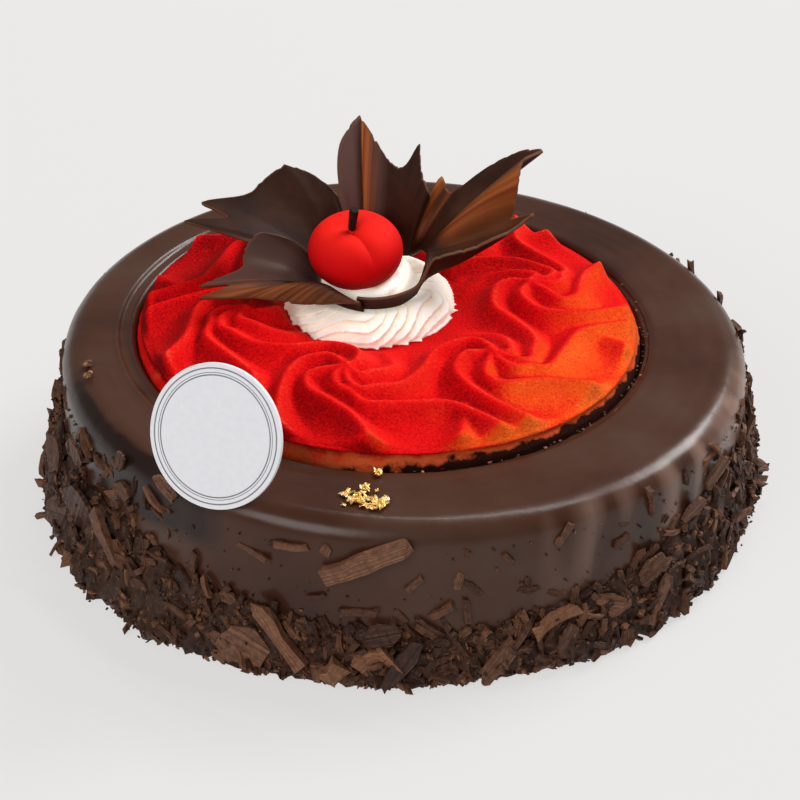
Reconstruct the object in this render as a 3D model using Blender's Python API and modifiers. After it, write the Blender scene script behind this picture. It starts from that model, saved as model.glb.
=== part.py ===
# Black forest cake: a round glazed mousse cake with chocolate shavings round its foot, a velvet-sprayed
# red disc of piped-looking waves set in its top, a cream rosette, a curled chocolate flower with a
# cherry in it, and a small round plaque on the front left edge.
# Metres, +Z up. The origin is the centre of the cake's underside and -Y is the front.

import math
import random

import bmesh
import bpy
import numpy as np
from mathutils import Matrix, Vector

MM = 0.001
GAP = 0.3 * MM                        # clearance between pieces that touch

# cake body
CAKE_RADIUS = 90 * MM
CAKE_HEIGHT = 45.6 * MM
CAKE_LEAN = 0.0225                    # the poured top falls towards +X and the body leans that way
CAKE_TOP_ROUND = 6.8 * MM
CAKE_FOOT_ROUND = 1.5 * MM

# recess in the top, a little off centre, and the red disc in it, which is narrower at its top
DISC_CENTRE = Vector((-3.2, 3.3, 0)) * MM
DISC_TOP_RADIUS = 65.2 * MM
DISC_FOOT_RADIUS = 66.2 * MM
RECESS_RADIUS = 67.4 * MM
RECESS_DEPTH = 4 * MM
DISC_TOP = 47.9                       # mm, height of its rim on the cake's axis
DISC_SLOPE = (-0.031, -0.016)         # the disc stands higher at its left and at its front
DISC_CELLS = 40

# whirls of the wave relief, in mm and degrees
WHIRLS = 6
WHIRL_RING = 38.2
FIRST_WHIRL_ANGLE = -106.3
CREST_HEIGHT = 3.3
CREST_ROUNDING = 0.5
CREST_WIDTH = 2.1                     # at a whirl's centre, widening away from it
CREST_WIDENING = 0.13
CREST_FULL_WIDTH = 3.3
KNOT_SPREAD = 6.0                     # crests are lower than this near to a whirl's centre
KNOT_FALL = 0.45
DOME_HEIGHT = 4.3
DOME_SPREAD = 11.7
MIDDLE_RISE = 1.7                     # the middle of the disc is this much higher than its rim
MIDDLE_RADIUS = 39.0
RIM_WIDTH = 3.7                       # the relief falls to the plain rim over this width
SEAT_MARGIN = 5.0                     # round the cream the relief fades out over this width

# cream rosette
CREAM_CENTRE = Vector((-8.4, 9.3, 49.6)) * MM
CREAM_RADIUS = 21.8
CREAM_SHELF = 7.0                     # height of the ledge that carries the flower
CREAM_LOBES = 15
CREAM_LOBE_DEPTH = 0.9
CREAM_TWIST = math.radians(6)         # per mm of height
CREAM_STEPS = 60

# chocolate flower
FLOWER_CENTRE = Vector((-7.5, 9.0, 57.0)) * MM
FLOWER_RING = 14.0
FLOWER_START_RING = 15.6              # the strip begins outside its own end
STRIP_THICKNESS = 0.9 * MM
STRIP_ROWS = 6

# cherry and its stem
CHERRY_CENTRE = Vector((-12.0, 9.0, 66.6)) * MM
CHERRY_RADIUS = 12.5 * MM
CHERRY_HALF_HEIGHT = 9.3 * MM
CHERRY_TILT = math.radians(9)         # leans towards the front
CHERRY_DIMPLE = 0.34
CHERRY_CLEFT = 0.055
STEM_RADIUS = 1.05 * MM
STEM_LENGTH = 7.4 * MM

# plaque
PLAQUE_RADIUS = 18.1 * MM
PLAQUE_THICKNESS = 1.2 * MM
PLAQUE_ANGLE = math.radians(243)      # the way that it faces
PLAQUE_LEAN = math.radians(22)
PLAQUE_REACH = 18.5 * MM              # from the line where it touches the cake's edge up to its centre
PLAQUE_SIDESTEP = 9.1 * MM            # its centre stands this far to the left of where it touches

# shavings: how far from the cake's axis they reach at the foot (degrees, mm), and how much of that
# depth is left at each height
SHAVING_REACH = ((0, 97.5), (25, 97), (60, 96), (95, 97), (130, 96), (165, 97), (194, 97.5), (206, 98),
                 (213, 101), (219, 97.6), (229, 100), (234, 97.5), (246, 95), (259, 93.5), (267, 95),
                 (274, 93), (289, 93), (302, 96), (320, 95.5), (339, 95), (360, 97.5))
SHAVING_LEVELS = ((0.0, 1.0), (7.0, 1.12), (14.0, 0.95), (21.0, 0.55))
SHAVING_TOP = 27.0
SHAVING_SIDE_LIFT = 6.0               # the shavings stand higher at the left and right
SHAVING_COLUMNS = 72


def material(name, colour, roughness):
    mat = bpy.data.materials.new(name)
    mat.use_nodes = True
    shader = mat.node_tree.nodes["Principled BSDF"]
    shader.inputs["Base Color"].default_value = (*colour, 1)
    shader.inputs["Roughness"].default_value = roughness
    shader.inputs["Metallic"].default_value = 0.0
    return mat


def add_object(name, mesh, mat, collection):
    obj = bpy.data.objects.new(name, mesh)
    mesh.materials.append(mat)
    collection.objects.link(obj)
    return obj


def mesh_from(bm, name):
    mesh = bpy.data.meshes.new(name)
    bmesh.ops.recalc_face_normals(bm, faces=bm.faces)
    bm.to_mesh(mesh)
    bm.free()
    mesh.shade_smooth()
    mesh.set_sharp_from_angle(angle=math.radians(40))
    return mesh


def move_to(collection, obj, name, mat=None):
    """Names a primitive that an operator has just added and moves it into its collection."""
    obj.name = name
    for owner in obj.users_collection:
        owner.objects.unlink(obj)
    collection.objects.link(obj)
    if mat:
        obj.data.materials.append(mat)
    return obj


def add_modifier(obj, kind, **settings):
    mod = obj.modifiers.new(kind.title(), kind)
    for key, value in settings.items():
        setattr(mod, key, value)
    return mod


def cut(obj, cutter):
    add_modifier(obj, "BOOLEAN", operation="DIFFERENCE", object=cutter, solver="EXACT")
    cutter.hide_render = True
    cutter.display_type = "WIRE"


def arc(centre_r, centre_z, radius, start, end, steps):
    angles = [math.radians(start + (end - start) * i / steps) for i in range(steps + 1)]
    return [(centre_r + radius * math.cos(a), centre_z + radius * math.sin(a)) for a in angles]


def curve_through(points, steps):
    """A smooth curve (Catmull-Rom) through rows of numbers, with `steps` pieces to each row."""
    rows = [np.array(p, float) for p in points]
    rows = [2 * rows[0] - rows[1]] + rows + [2 * rows[-1] - rows[-2]]
    out = []
    for a, b, c, d in zip(rows, rows[1:], rows[2:], rows[3:]):
        for i in range(steps):
            t = i / steps
            out.append(b + 0.5 * t * (c - a + t * (2 * a - 5 * b + 4 * c - d + t * (3 * (b - c) + d - a))))
    out.append(rows[-2])
    return np.array(out)


def leaned(co):
    """A point of the cake's body after the lean: the foot stays flat and the top falls towards +X."""
    return Vector((co.x + CAKE_LEAN * co.z, co.y, co.z - CAKE_LEAN * co.x * co.z / CAKE_HEIGHT))


def cake_body(collection, cutters):
    r, h = CAKE_RADIUS, CAKE_HEIGHT
    profile = [(0, h)]
    profile += arc(r - CAKE_TOP_ROUND, h - CAKE_TOP_ROUND, CAKE_TOP_ROUND, 90, 0, 5)
    profile += arc(r - CAKE_FOOT_ROUND, CAKE_FOOT_ROUND, CAKE_FOOT_ROUND, 0, -90, 2)
    profile += [(0, 0)]
    bm = bmesh.new()
    verts = [bm.verts.new((radius, 0, z)) for radius, z in profile]
    edges = [bm.edges.new(pair) for pair in zip(verts, verts[1:])]
    bmesh.ops.spin(bm, geom=verts + edges, axis=(0, 0, 1), cent=(0, 0, 0), angle=math.tau, steps=72,
                   use_merge=True)
    bmesh.ops.remove_doubles(bm, verts=bm.verts, dist=0.00002)
    for vert in bm.verts:
        vert.co = leaned(vert.co)
    glaze = material("chocolate_glaze", (0.045, 0.022, 0.014), 0.18)
    body = add_object("cake_body", mesh_from(bm, "cake_body"), glaze, collection)
    bpy.ops.mesh.primitive_cylinder_add(vertices=72, radius=RECESS_RADIUS, depth=2 * RECESS_DEPTH)
    cutter = move_to(cutters, bpy.context.object, "recess_cutter")
    for vert in cutter.data.vertices:
        vert.co += DISC_CENTRE + Vector((0, 0, CAKE_HEIGHT))
        vert.co.z -= CAKE_LEAN * vert.co.x
    cut(body, cutter)
    return body


# Crest lines that leave one whirl, as the front whirl has them: millimetres from the disc's centre,
# with the strength of the crest at its start and end. Three run to the rim, one links to the next
# whirl, one dies out towards the middle and one branches off towards the rim.
FRONT_CRESTS = (
    (((0, -38.2), (-5, -34.5), (-9, -35), (-12.5, -37.5), (-14, -42.5), (-14, -48), (-13, -55),
      (-10.5, -64)), 1.0, 1.0),
    (((0, -38.2), (-3.5, -40.5), (-8, -43.5), (-8.5, -46.5), (-6, -50), (0, -52.5), (7, -56),
      (13.5, -62.5)), 1.0, 1.0),
    (((0, -38.2), (-1.5, -43), (0, -47), (4, -48.5), (9, -50.5), (19, -46), (27.5, -42.5), (34, -43.5),
      (43.5, -46.5)), 1.0, 1.0),
    (((0, -38.2), (2, -44.5), (6, -46.5), (9.5, -44), (14.5, -40), (17, -34.5), (18, -28), (18.5, -21),
      (22, -16.5), (26.5, -14.5), (31, -16), (33.1, -19.1)), 1.0, 1.0),
    (((0, -38.2), (4, -41), (6.5, -38), (9, -34.5), (10, -29.5), (8.5, -26), (6, -22)), 1.0, 0.25),
    (((-14, -43.5), (-19.5, -47.5), (-25.5, -53.5), (-29.5, -57)), 0.35, 0.9),
)


def turn(points, degrees):
    a = math.radians(degrees)
    spin = np.array(((math.cos(a), math.sin(a)), (-math.sin(a), math.cos(a))))
    return np.array(points, float) @ spin


def distance_to_line(x, y, line):
    """Distance to a polyline, and how far along it the nearest point is, from 0 to 1."""
    best = np.full(x.shape, 1e9)
    along = np.zeros(x.shape)
    count = len(line) - 1
    for i, (a, b) in enumerate(zip(line, line[1:])):
        span = b - a
        t = ((x - a[0]) * span[0] + (y - a[1]) * span[1]) / (span @ span)
        t = np.clip(t, 0, 1)
        d = np.hypot(x - a[0] - t * span[0], y - a[1] - t * span[1])
        near = d < best
        best = np.where(near, d, best)
        along = np.where(near, (i + t) / count, along)
    return best, along


def smooth_step(value, start, end):
    t = np.clip((value - start) / (end - start), 0, 1)
    return t * t * (3 - 2 * t)


def wave_relief(x, y):
    """Height of the relief above the plain rim, in mm, at points in mm from the disc's centre."""
    turns = [FIRST_WHIRL_ANGLE + 90 + 360 / WHIRLS * k for k in range(WHIRLS)]
    knots = [turn((0, -WHIRL_RING), degrees) for degrees in turns]
    from_knot = np.min([np.hypot(x - kx, y - ky) for kx, ky in knots], axis=0)
    width = np.minimum(CREST_WIDTH + CREST_WIDENING * from_knot, CREST_FULL_WIDTH)
    total = np.zeros(x.shape)
    for points, start, end in FRONT_CRESTS:
        line = curve_through(points, 3)
        for degrees in turns:
            d, along = distance_to_line(x, y, turn(line, degrees))
            away = np.sqrt(d * d + CREST_ROUNDING ** 2) - CREST_ROUNDING
            total += (np.exp(-away / width) * (start + (end - start) * along ** 1.5)) ** 6
    crest = CREST_HEIGHT * total ** (1 / 6) * (1 - KNOT_FALL * np.exp(-(from_knot / KNOT_SPREAD) ** 2))
    dome = sum(DOME_HEIGHT * np.exp(-((x - kx) ** 2 + (y - ky) ** 2) / DOME_SPREAD ** 2) for kx, ky in knots)
    rim = DISC_TOP_RADIUS / MM
    out = np.hypot(x, y)
    from_middle = np.clip((out - MIDDLE_RADIUS) / (rim - MIDDLE_RADIUS), 0, 1)
    height = crest + dome + MIDDLE_RISE * (1 - from_middle ** 1.5)
    return height * (1 - smooth_step(out, rim - RIM_WIDTH, rim))


def disc_top(x, y):
    """Height of the disc's sloping upper side in mm, with a flat seat for the cream."""
    slope_x, slope_y = DISC_SLOPE
    rim = DISC_TOP + slope_x * (x + DISC_CENTRE.x / MM) + slope_y * (y + DISC_CENTRE.y / MM)
    height = rim + wave_relief(x, y)
    seat = (CREAM_CENTRE.z - GAP) / MM
    cream = (CREAM_CENTRE - DISC_CENTRE) / MM
    clear = smooth_step(np.hypot(x - cream.x, y - cream.y), CREAM_RADIUS, CREAM_RADIUS + SEAT_MARGIN)
    return seat + (height - seat) * clear


def square_to_disc(u, v):
    """A point of the square -1..1 moved to the unit disc, so that its rings of cells become round."""
    if u == 0 and v == 0:
        return 0.0, 0.0
    if abs(u) >= abs(v):
        radius, angle = u, math.pi / 4 * v / u
    else:
        radius, angle = v, math.pi / 2 - math.pi / 4 * u / v
    return radius * math.cos(angle), radius * math.sin(angle)


def velvet_disc(collection):
    bm = bmesh.new()
    bmesh.ops.create_grid(bm, x_segments=DISC_CELLS, y_segments=DISC_CELLS, size=1)
    flat = [square_to_disc(v.co.x, v.co.y) for v in bm.verts]
    x, y = np.array(flat).T * DISC_TOP_RADIUS / MM
    for vert, px, py, height in zip(bm.verts, x, y, disc_top(x, y)):
        vert.co = DISC_CENTRE + Vector((px, py, height)) * MM
    rim = [e for e in bm.edges if e.is_boundary]
    wall = bmesh.ops.extrude_edge_only(bm, edges=rim)["geom"]
    for vert in (g for g in wall if isinstance(g, bmesh.types.BMVert)):
        foot = DISC_CENTRE + (vert.co - DISC_CENTRE) * DISC_FOOT_RADIUS / DISC_TOP_RADIUS
        vert.co = (foot.x, foot.y, CAKE_HEIGHT - RECESS_DEPTH + GAP - CAKE_LEAN * foot.x)
    bmesh.ops.holes_fill(bm, edges=[e for e in bm.edges if e.is_boundary], sides=0)
    velvet = material("red_velvet_spray", (0.62, 0.008, 0.006), 0.85)
    return add_object("velvet_disc", mesh_from(bm, "velvet_disc"), velvet, collection)


def cream_rosette(collection, cutters):
    """A piped rosette: its side is drawn into twisted lobes, and a ledge runs round its middle mound."""
    side = [(20.8, 0), (21.6, 0.8), (21.5, 2.2), (20.4, 4.2), (18.6, 5.8), (16.8, CREAM_SHELF)]
    mound = [(12.2, CREAM_SHELF), (11.8, 8.4), (10.4, 10.2), (6.0, 11.0)]
    bm = bmesh.new()
    rings = []
    for index, (r, z) in enumerate(side + mound):
        depth = CREAM_LOBE_DEPTH * math.sin(math.pi * z / CREAM_SHELF) if index < len(side) else 0.0
        ring = []
        for i in range(CREAM_STEPS):
            a = math.tau * i / CREAM_STEPS
            radius = r + depth * (abs(math.sin(0.5 * CREAM_LOBES * (a - CREAM_TWIST * z))) ** 0.7 - 0.6)
            place = Vector((radius * math.cos(a), radius * math.sin(a), z)) * MM
            ring.append(bm.verts.new(CREAM_CENTRE + place))
        rings.append(ring)
    loops = [[bm.edges.new((a, b)) for a, b in zip(ring, ring[1:] + ring[:1])] for ring in rings]
    for low, high in zip(loops, loops[1:]):
        bmesh.ops.bridge_loops(bm, edges=low + high)
    bmesh.ops.holes_fill(bm, edges=[e for e in bm.edges if e.is_boundary], sides=0)
    cream = material("whipped_cream", (0.88, 0.80, 0.68), 0.5)
    obj = add_object("cream_rosette", mesh_from(bm, "cream_rosette"), cream, collection)
    bpy.ops.mesh.primitive_uv_sphere_add(segments=24, ring_count=12, radius=1)
    seat = move_to(cutters, bpy.context.object, "cherry_seat_cutter")
    grow = 1.5 * GAP
    seat.data.transform(cherry_placement() @ Matrix.Diagonal(
        (CHERRY_RADIUS + grow, CHERRY_RADIUS + grow, CHERRY_HALF_HEIGHT + grow, 1)))
    cut(obj, seat)
    return obj


# The flower is one strip, set in a ring, whose torn upper edge flares into petals. Each row is one rib
# of the strip: its direction at the ring and at its tip (degrees), how far out and how high an uncut rib
# ends (mm from the ring's centre and foot), how much it arches (mm), and the share of it that is left.
FLOWER_RIBS = (
    # front left petal
    (262, 258, 16.5, 3.0, 0.5, 1.00), (250, 244, 19.0, 3.3, 3.5, 1.00), (238, 231, 22.5, 3.2, 6.5, 1.00),
    (228, 222, 26.0, 3.3, 8.5, 1.00), (218, 214, 30.0, 3.8, 8.5, 1.00), (209, 207, 36.0, 4.3, 6.5, 1.00),
    (203, 201, 48.0, 4.8, 4.0, 1.00), (199, 198, 45.0, 5.6, 4.0, 0.82), (195, 196, 48.0, 5.8, 3.8, 0.97),
    (191, 192, 37.5, 8.2, 3.0, 0.92), (186, 187, 36.0, 10.8, 2.5, 0.92), (181, 183, 33.5, 13.2, 2.5, 0.95),
    (176, 179, 30.0, 15.2, 2.5, 0.93), (171, 176, 26.0, 14.5, 2.5, 0.60),
    # back left petal
    (166, 173, 50.0, 11.4, 5.0, 0.60), (162, 169, 51.5, 12.5, 5.5, 1.00), (157, 163, 51.0, 13.0, 5.5, 0.76),
    (152, 158, 49.8, 13.2, 5.5, 1.00), (145, 149, 46.5, 14.9, 5.5, 0.84), (138, 140, 43.0, 16.6, 5.2, 0.89),
    (130, 129, 38.5, 19.0, 4.8, 0.98), (122, 122, 35.0, 18.6, 4.4, 0.89), (115, 113, 30.0, 18.6, 4.0, 0.66),
    # tall back petal
    (109, 124, 20.5, 24.0, 3.0, 0.70), (107, 116, 22.0, 31.0, 3.0, 0.92), (104, 106, 23.0, 35.0, 2.8, 0.97),
    (100, 98, 25.0, 36.2, 0.8, 1.00), (92, 90, 24.5, 35.0, 3.6, 0.88), (83, 81, 24.0, 34.0, 3.6, 0.75),
    (74, 72, 24.0, 33.0, 3.0, 0.69), (67, 64, 24.0, 32.0, 3.0, 0.75), (63, 58, 23.5, 30.6, 3.0, 1.00),
    (58, 51, 23.0, 27.5, 3.0, 0.83), (51, 40, 23.0, 24.0, 3.0, 0.74),
    # right petal
    (45, 53, 29.0, 19.0, 4.0, 0.72), (41, 51, 29.0, 19.0, 4.0, 1.00), (37, 46, 35.0, 20.5, 4.0, 0.70),
    (33, 42, 39.0, 21.5, 4.5, 0.70), (29, 38, 42.0, 23.0, 5.0, 0.86), (25, 34, 44.5, 25.0, 5.0, 0.94),
    (20, 30, 47.5, 26.8, 5.0, 0.98), (16, 26, 50.5, 27.3, 5.5, 1.00), (12, 22, 42.4, 26.6, 5.5, 1.00),
    (7, 16, 39.8, 21.3, 4.8, 1.00), (4, 10, 37.8, 15.3, 3.0, 1.00), (2, 7, 42.6, 17.3, 1.0, 1.00),
    (-6, -2, 34.2, 14.6, -1.5, 1.00), (-14, -10, 26.9, 12.9, -2.0, 1.00), (-21, -18, 22.4, 12.6, -1.5, 1.00),
    # low front of the ring
    (-33, -31, 17.6, 10.0, -0.1, 1.00), (-45, -44, 16.5, 5.2, 1.0, 0.95), (-65, -65, 15.4, 4.0, 0.5, 0.95),
    (-88, -88, 15.0, 3.6, 0.3, 0.95), (-106, -106, 14.6, 3.4, 0.3, 0.95),
)
# how high the strip's foot lifts off the cream (mm), by its direction (degrees)
FLOWER_LIFT = ((-60, 0.0), (-36, 1.2), (-18, 6.5), (0, 8.0), (25, 6.0), (45, 2.0), (70, 0.0))


def rib_point(rib, t):
    foot_angle, tip_angle, reach, height, arch, share = rib
    t *= share
    loose = max(0.0, (foot_angle - 200) / 62)
    foot_radius = FLOWER_RING + (FLOWER_START_RING - FLOWER_RING) * loose
    middle = 0.5 * (foot_radius + reach) - arch * 0.6
    radius = (1 - t) ** 2 * foot_radius + 2 * t * (1 - t) * middle + t * t * reach
    lift = float(np.interp(foot_angle, *zip(*FLOWER_LIFT)))
    rise = 2 * t * (1 - t) * (0.5 * height + arch) + t * t * height + lift * (1 - t) ** 2
    angle = math.radians(foot_angle + (tip_angle - foot_angle) * t ** 0.8)
    return FLOWER_CENTRE + Vector((radius * math.cos(angle), radius * math.sin(angle), rise)) * MM


def chocolate_flower(collection):
    bm = bmesh.new()
    bmesh.ops.create_grid(bm, x_segments=len(FLOWER_RIBS) - 1, y_segments=STRIP_ROWS, size=0.5)
    for vert in bm.verts:
        rib = FLOWER_RIBS[round((vert.co.x + 0.5) * (len(FLOWER_RIBS) - 1))]
        vert.co = rib_point(rib, vert.co.y + 0.5)
    dark = material("dark_chocolate", (0.030, 0.012, 0.008), 0.32)
    obj = add_object("chocolate_flower", mesh_from(bm, "chocolate_flower"), dark, collection)
    add_modifier(obj, "SOLIDIFY", thickness=STRIP_THICKNESS, offset=0.0, use_even_offset=False)
    return obj


def cherry_placement():
    return Matrix.Translation(CHERRY_CENTRE) @ Matrix.Rotation(CHERRY_TILT, 4, "X")


def cherry_radius_share(theta, phi):
    """How much of the plain ellipsoid's radius is left: a dimple at the top and a cleft down one side."""
    dimple = CHERRY_DIMPLE * math.exp(-(theta / 0.42) ** 2)
    turn_from_cleft = abs((phi + math.radians(62) + math.pi) % math.tau - math.pi)
    sideways = turn_from_cleft * max(math.sin(theta), 0.05)
    cleft = CHERRY_CLEFT * math.exp(-(sideways / 0.10) ** 2) * max(0.0, math.cos(theta * 0.62)) ** 0.5
    return 1 - dimple - cleft


def cherry(collection):
    bm = bmesh.new()
    bmesh.ops.create_uvsphere(bm, u_segments=20, v_segments=12, radius=1)
    for vert in bm.verts:
        theta = math.acos(max(-1, min(1, vert.co.z)))
        phi = math.atan2(vert.co.y, vert.co.x)
        share = cherry_radius_share(theta, phi)
        vert.co = Vector((vert.co.x * CHERRY_RADIUS, vert.co.y * CHERRY_RADIUS,
                          vert.co.z * CHERRY_HALF_HEIGHT)) * share
    bmesh.ops.transform(bm, matrix=cherry_placement(), verts=bm.verts)
    velvet = material("cherry_velvet", (0.60, 0.006, 0.004), 0.7)
    return add_object("cherry", mesh_from(bm, "cherry"), velvet, collection)


def cherry_stem(collection):
    foot = cherry_placement() @ Vector((0, 0, CHERRY_HALF_HEIGHT * (1 - CHERRY_DIMPLE) + GAP))
    bpy.ops.mesh.primitive_cone_add(vertices=10, radius1=STEM_RADIUS, radius2=STEM_RADIUS * 1.1,
                                    depth=STEM_LENGTH)
    chocolate = material("stem_chocolate", (0.022, 0.010, 0.008), 0.45)
    stem = move_to(collection, bpy.context.object, "cherry_stem", chocolate)
    lean = Matrix.Rotation(math.radians(6), 4, "X") @ Matrix.Rotation(math.radians(4), 4, "Y")
    stem.data.transform(Matrix.Translation(foot) @ lean @ Matrix.Translation((0, 0, STEM_LENGTH / 2 + GAP)))
    return stem


def plaque(collection):
    """A thin round card that stands on the cake's rounded edge and leans back."""
    out = Vector((math.cos(PLAQUE_ANGLE), math.sin(PLAQUE_ANGLE), 0))
    normal = out * math.cos(PLAQUE_LEAN) + Vector((0, 0, math.sin(PLAQUE_LEAN)))
    upward = Vector((0, 0, math.cos(PLAQUE_LEAN))) - out * math.sin(PLAQUE_LEAN)
    edge_centre = leaned(out * (CAKE_RADIUS - CAKE_TOP_ROUND) + Vector((0, 0, CAKE_HEIGHT - CAKE_TOP_ROUND)))
    touch = edge_centre + normal * (CAKE_TOP_ROUND + GAP)
    sideways = out.cross(Vector((0, 0, 1))) * PLAQUE_SIDESTEP
    centre = touch + upward * PLAQUE_REACH + sideways + normal * PLAQUE_THICKNESS / 2
    bpy.ops.mesh.primitive_cylinder_add(vertices=40, radius=PLAQUE_RADIUS, depth=PLAQUE_THICKNESS)
    obj = move_to(collection, bpy.context.object, "plaque", material("white_card", (0.62, 0.62, 0.64), 0.45))
    obj.data.transform(Matrix.Translation(centre) @ normal.to_track_quat("Z", "Y").to_matrix().to_4x4())
    add_modifier(obj, "BEVEL", width=0.25 * MM, segments=1, limit_method="ANGLE")
    return obj


def shaving_band(collection):
    """The band of loose shavings pressed round the cake's foot, out to its uneven outline."""
    rng = random.Random(7)
    inner = CAKE_RADIUS + GAP
    degrees, reaches = zip(*SHAVING_REACH)
    bm = bmesh.new()
    loops = []
    for i in range(SHAVING_COLUMNS):
        a = math.tau * i / SHAVING_COLUMNS
        sides = abs(math.cos(a)) ** 3
        depth = np.interp(math.degrees(a), degrees, reaches) * MM - inner
        section = [(inner, 0.0)]
        for z, share in SHAVING_LEVELS:
            lift = 0 if z == 0 else rng.uniform(-1.2, 1.2)
            height = (z * (1 + 0.25 * sides) + lift) * MM
            section.append((inner + depth * (share + rng.uniform(-0.2, 0.2)), height))
        top = (SHAVING_TOP + SHAVING_SIDE_LIFT * sides + rng.uniform(-2.5, 2.5)) * MM
        section.append((inner + 0.9 * MM, top))
        section.append((inner, top - 0.6 * MM))
        loops.append([bm.verts.new((r * math.cos(a) + CAKE_LEAN * z, r * math.sin(a), z))
                      for r, z in section])
    rings = [[bm.edges.new((a, b)) for a, b in zip(loop, loop[1:] + loop[:1])] for loop in loops]
    for one, other in zip(rings, rings[1:] + rings[:1]):
        bmesh.ops.bridge_loops(bm, edges=one + other)
    shavings = material("chocolate_shavings", (0.075, 0.036, 0.022), 0.6)
    return add_object("shaving_band", mesh_from(bm, "shaving_band"), shavings, collection)


def main():
    for obj in list(bpy.data.objects):
        bpy.data.objects.remove(obj, do_unlink=True)
    parts = bpy.data.collections.new("black_forest_cake")
    cutters = bpy.data.collections.new("cutters")
    for collection in (parts, cutters):
        bpy.context.scene.collection.children.link(collection)
    cake_body(parts, cutters)
    shaving_band(parts)
    velvet_disc(parts)
    cream_rosette(parts, cutters)
    chocolate_flower(parts)
    cherry(parts)
    cherry_stem(parts)
    plaque(parts)


main()
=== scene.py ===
import math
import random

import bmesh
import bpy
import numpy as np
from mathutils import Matrix, Vector, noise


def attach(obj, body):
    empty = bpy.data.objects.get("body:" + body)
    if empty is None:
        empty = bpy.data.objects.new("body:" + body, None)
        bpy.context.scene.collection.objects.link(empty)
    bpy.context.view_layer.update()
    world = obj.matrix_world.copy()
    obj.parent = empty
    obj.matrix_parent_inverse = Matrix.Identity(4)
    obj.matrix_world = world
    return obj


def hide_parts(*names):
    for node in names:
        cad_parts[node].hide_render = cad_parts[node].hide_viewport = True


mm = 0.001
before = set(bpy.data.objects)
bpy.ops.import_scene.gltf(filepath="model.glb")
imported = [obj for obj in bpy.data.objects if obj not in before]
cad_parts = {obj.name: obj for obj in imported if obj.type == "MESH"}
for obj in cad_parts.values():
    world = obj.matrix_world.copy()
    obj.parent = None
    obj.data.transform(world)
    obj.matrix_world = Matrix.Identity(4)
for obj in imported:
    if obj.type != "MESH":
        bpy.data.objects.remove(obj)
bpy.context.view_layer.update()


# sRGB hex to the linear colour that shaders take
def linear(text, alpha=1.0):
    parts = [int(text[i:i + 2], 16) / 255 for i in (1, 3, 5)]
    return tuple(c / 12.92 if c <= 0.04045 else ((c + 0.055) / 1.055) ** 2.4 for c in parts) + (alpha,)


# adds one node, sets its settings, fills its sockets with values or links, and sets a ramp's colour steps
def addNode(tree, kind, inputs=None, steps=(), **settings):
    made = tree.nodes.new(kind)
    for key, value in settings.items():
        setattr(made, key, value)
    for key, value in (inputs or {}).items():
        if isinstance(value, bpy.types.NodeSocket):
            tree.links.new(value, made.inputs[key])
        else:
            made.inputs[key].default_value = value
    for i, (place, colour) in enumerate(steps):
        ramp = made.color_ramp.elements
        element = ramp[i] if i < len(ramp) else ramp.new(place)
        element.position = place
        element.color = linear(colour)
    return made


# a material with one Principled shader; bump and colour are linked in afterwards
def newMaterial(name, base, roughness, ior=1.5, **more):
    mat = bpy.data.materials.new(name)
    mat.use_nodes = True
    tree = mat.node_tree
    shader = tree.nodes["Principled BSDF"]
    shader.inputs["Base Color"].default_value = linear(base)
    shader.inputs["Roughness"].default_value = roughness
    shader.inputs["IOR"].default_value = ior
    for key, value in more.items():
        shader.inputs[key.replace("_", " ")].default_value = value
    return mat, tree, shader


def addPiece(name, bm, mat, slot, *nodes, flat=False):
    bmesh.ops.recalc_face_normals(bm, faces=bm.faces)
    mesh = bpy.data.meshes.new(name)
    bm.to_mesh(mesh)
    bm.free()
    if not flat:
        mesh.shade_smooth()
    mesh.materials.append(mat)
    obj = bpy.data.objects.new(name, mesh)
    bpy.context.scene.collection.objects.link(obj)
    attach(obj, "root")
    if nodes:
        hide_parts(*nodes)
    return obj


def arc(centreR, centreZ, radius, start, end, steps):
    angles = [math.radians(start + (end - start) * i / steps) for i in range(steps + 1)]
    return [(centreR + radius * math.cos(a), centreZ + radius * math.sin(a)) for a in angles]


# a smooth curve (Catmull-Rom) through rows of numbers
def curveThrough(points, steps):
    rows = [np.array(p, float) for p in points]
    rows = [2 * rows[0] - rows[1]] + rows + [2 * rows[-1] - rows[-2]]
    out = []
    for a, b, c, d in zip(rows, rows[1:], rows[2:], rows[3:]):
        for i in range(steps):
            t = i / steps
            out.append(b + 0.5 * t * (c - a + t * (2 * a - 5 * b + 4 * c - d + t * (3 * (b - c) + d - a))))
    out.append(rows[-2])
    return np.array(out)


def smoothStep(value, start, end):
    t = np.clip((value - start) / (end - start), 0, 1)
    return t * t * (3 - 2 * t)


# glaze: dark chocolate over the whole body, rolled into the recess
glaze = {
    "radius": 90, "height": 45.6, "lean": 0.0225, "topRound": 6.8, "footRound": 1.5,
    "recessRadius": 67.6, "lipRound": 1.9, "recessDepth": 4.0, "fill": 1.9, "fillLift": 1.1, "segments": 360,
    "step": 0.8, "stepWidth": 3.6, "stepFrom": 192,
    "wave": 0.22, "ripple": 0.1, "colour": "#45281b", "deep": "#33190f", "dull": "#4b3428",
}
disc = {
    "centre": (-3.2, 3.3), "topRadius": 65.2, "footRadius": 66.2, "top": 47.9, "slope": (-0.031, -0.016),
    "whirls": 6, "ring": 38.2, "firstAngle": -106.3, "crest": 4.7, "rounding": 0.25, "power": 1.25,
    "width": 2.3, "widening": 0.14, "fullWidth": 3.7, "knotSpread": 6.0, "knotFall": 0.45,
    "dome": 4.3, "domeSpread": 11.7, "rise": 1.7, "middle": 39.0, "rimWidth": 2.2, "seatMargin": 5.0,
    "cells": 280, "groove": 0.7, "sprayFrom": -32,
}


def leaned(co):
    g = glaze
    return Vector((co.x + g["lean"] * co.z, co.y, co.z - g["lean"] * co.x * co.z / (g["height"] * mm)))


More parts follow.
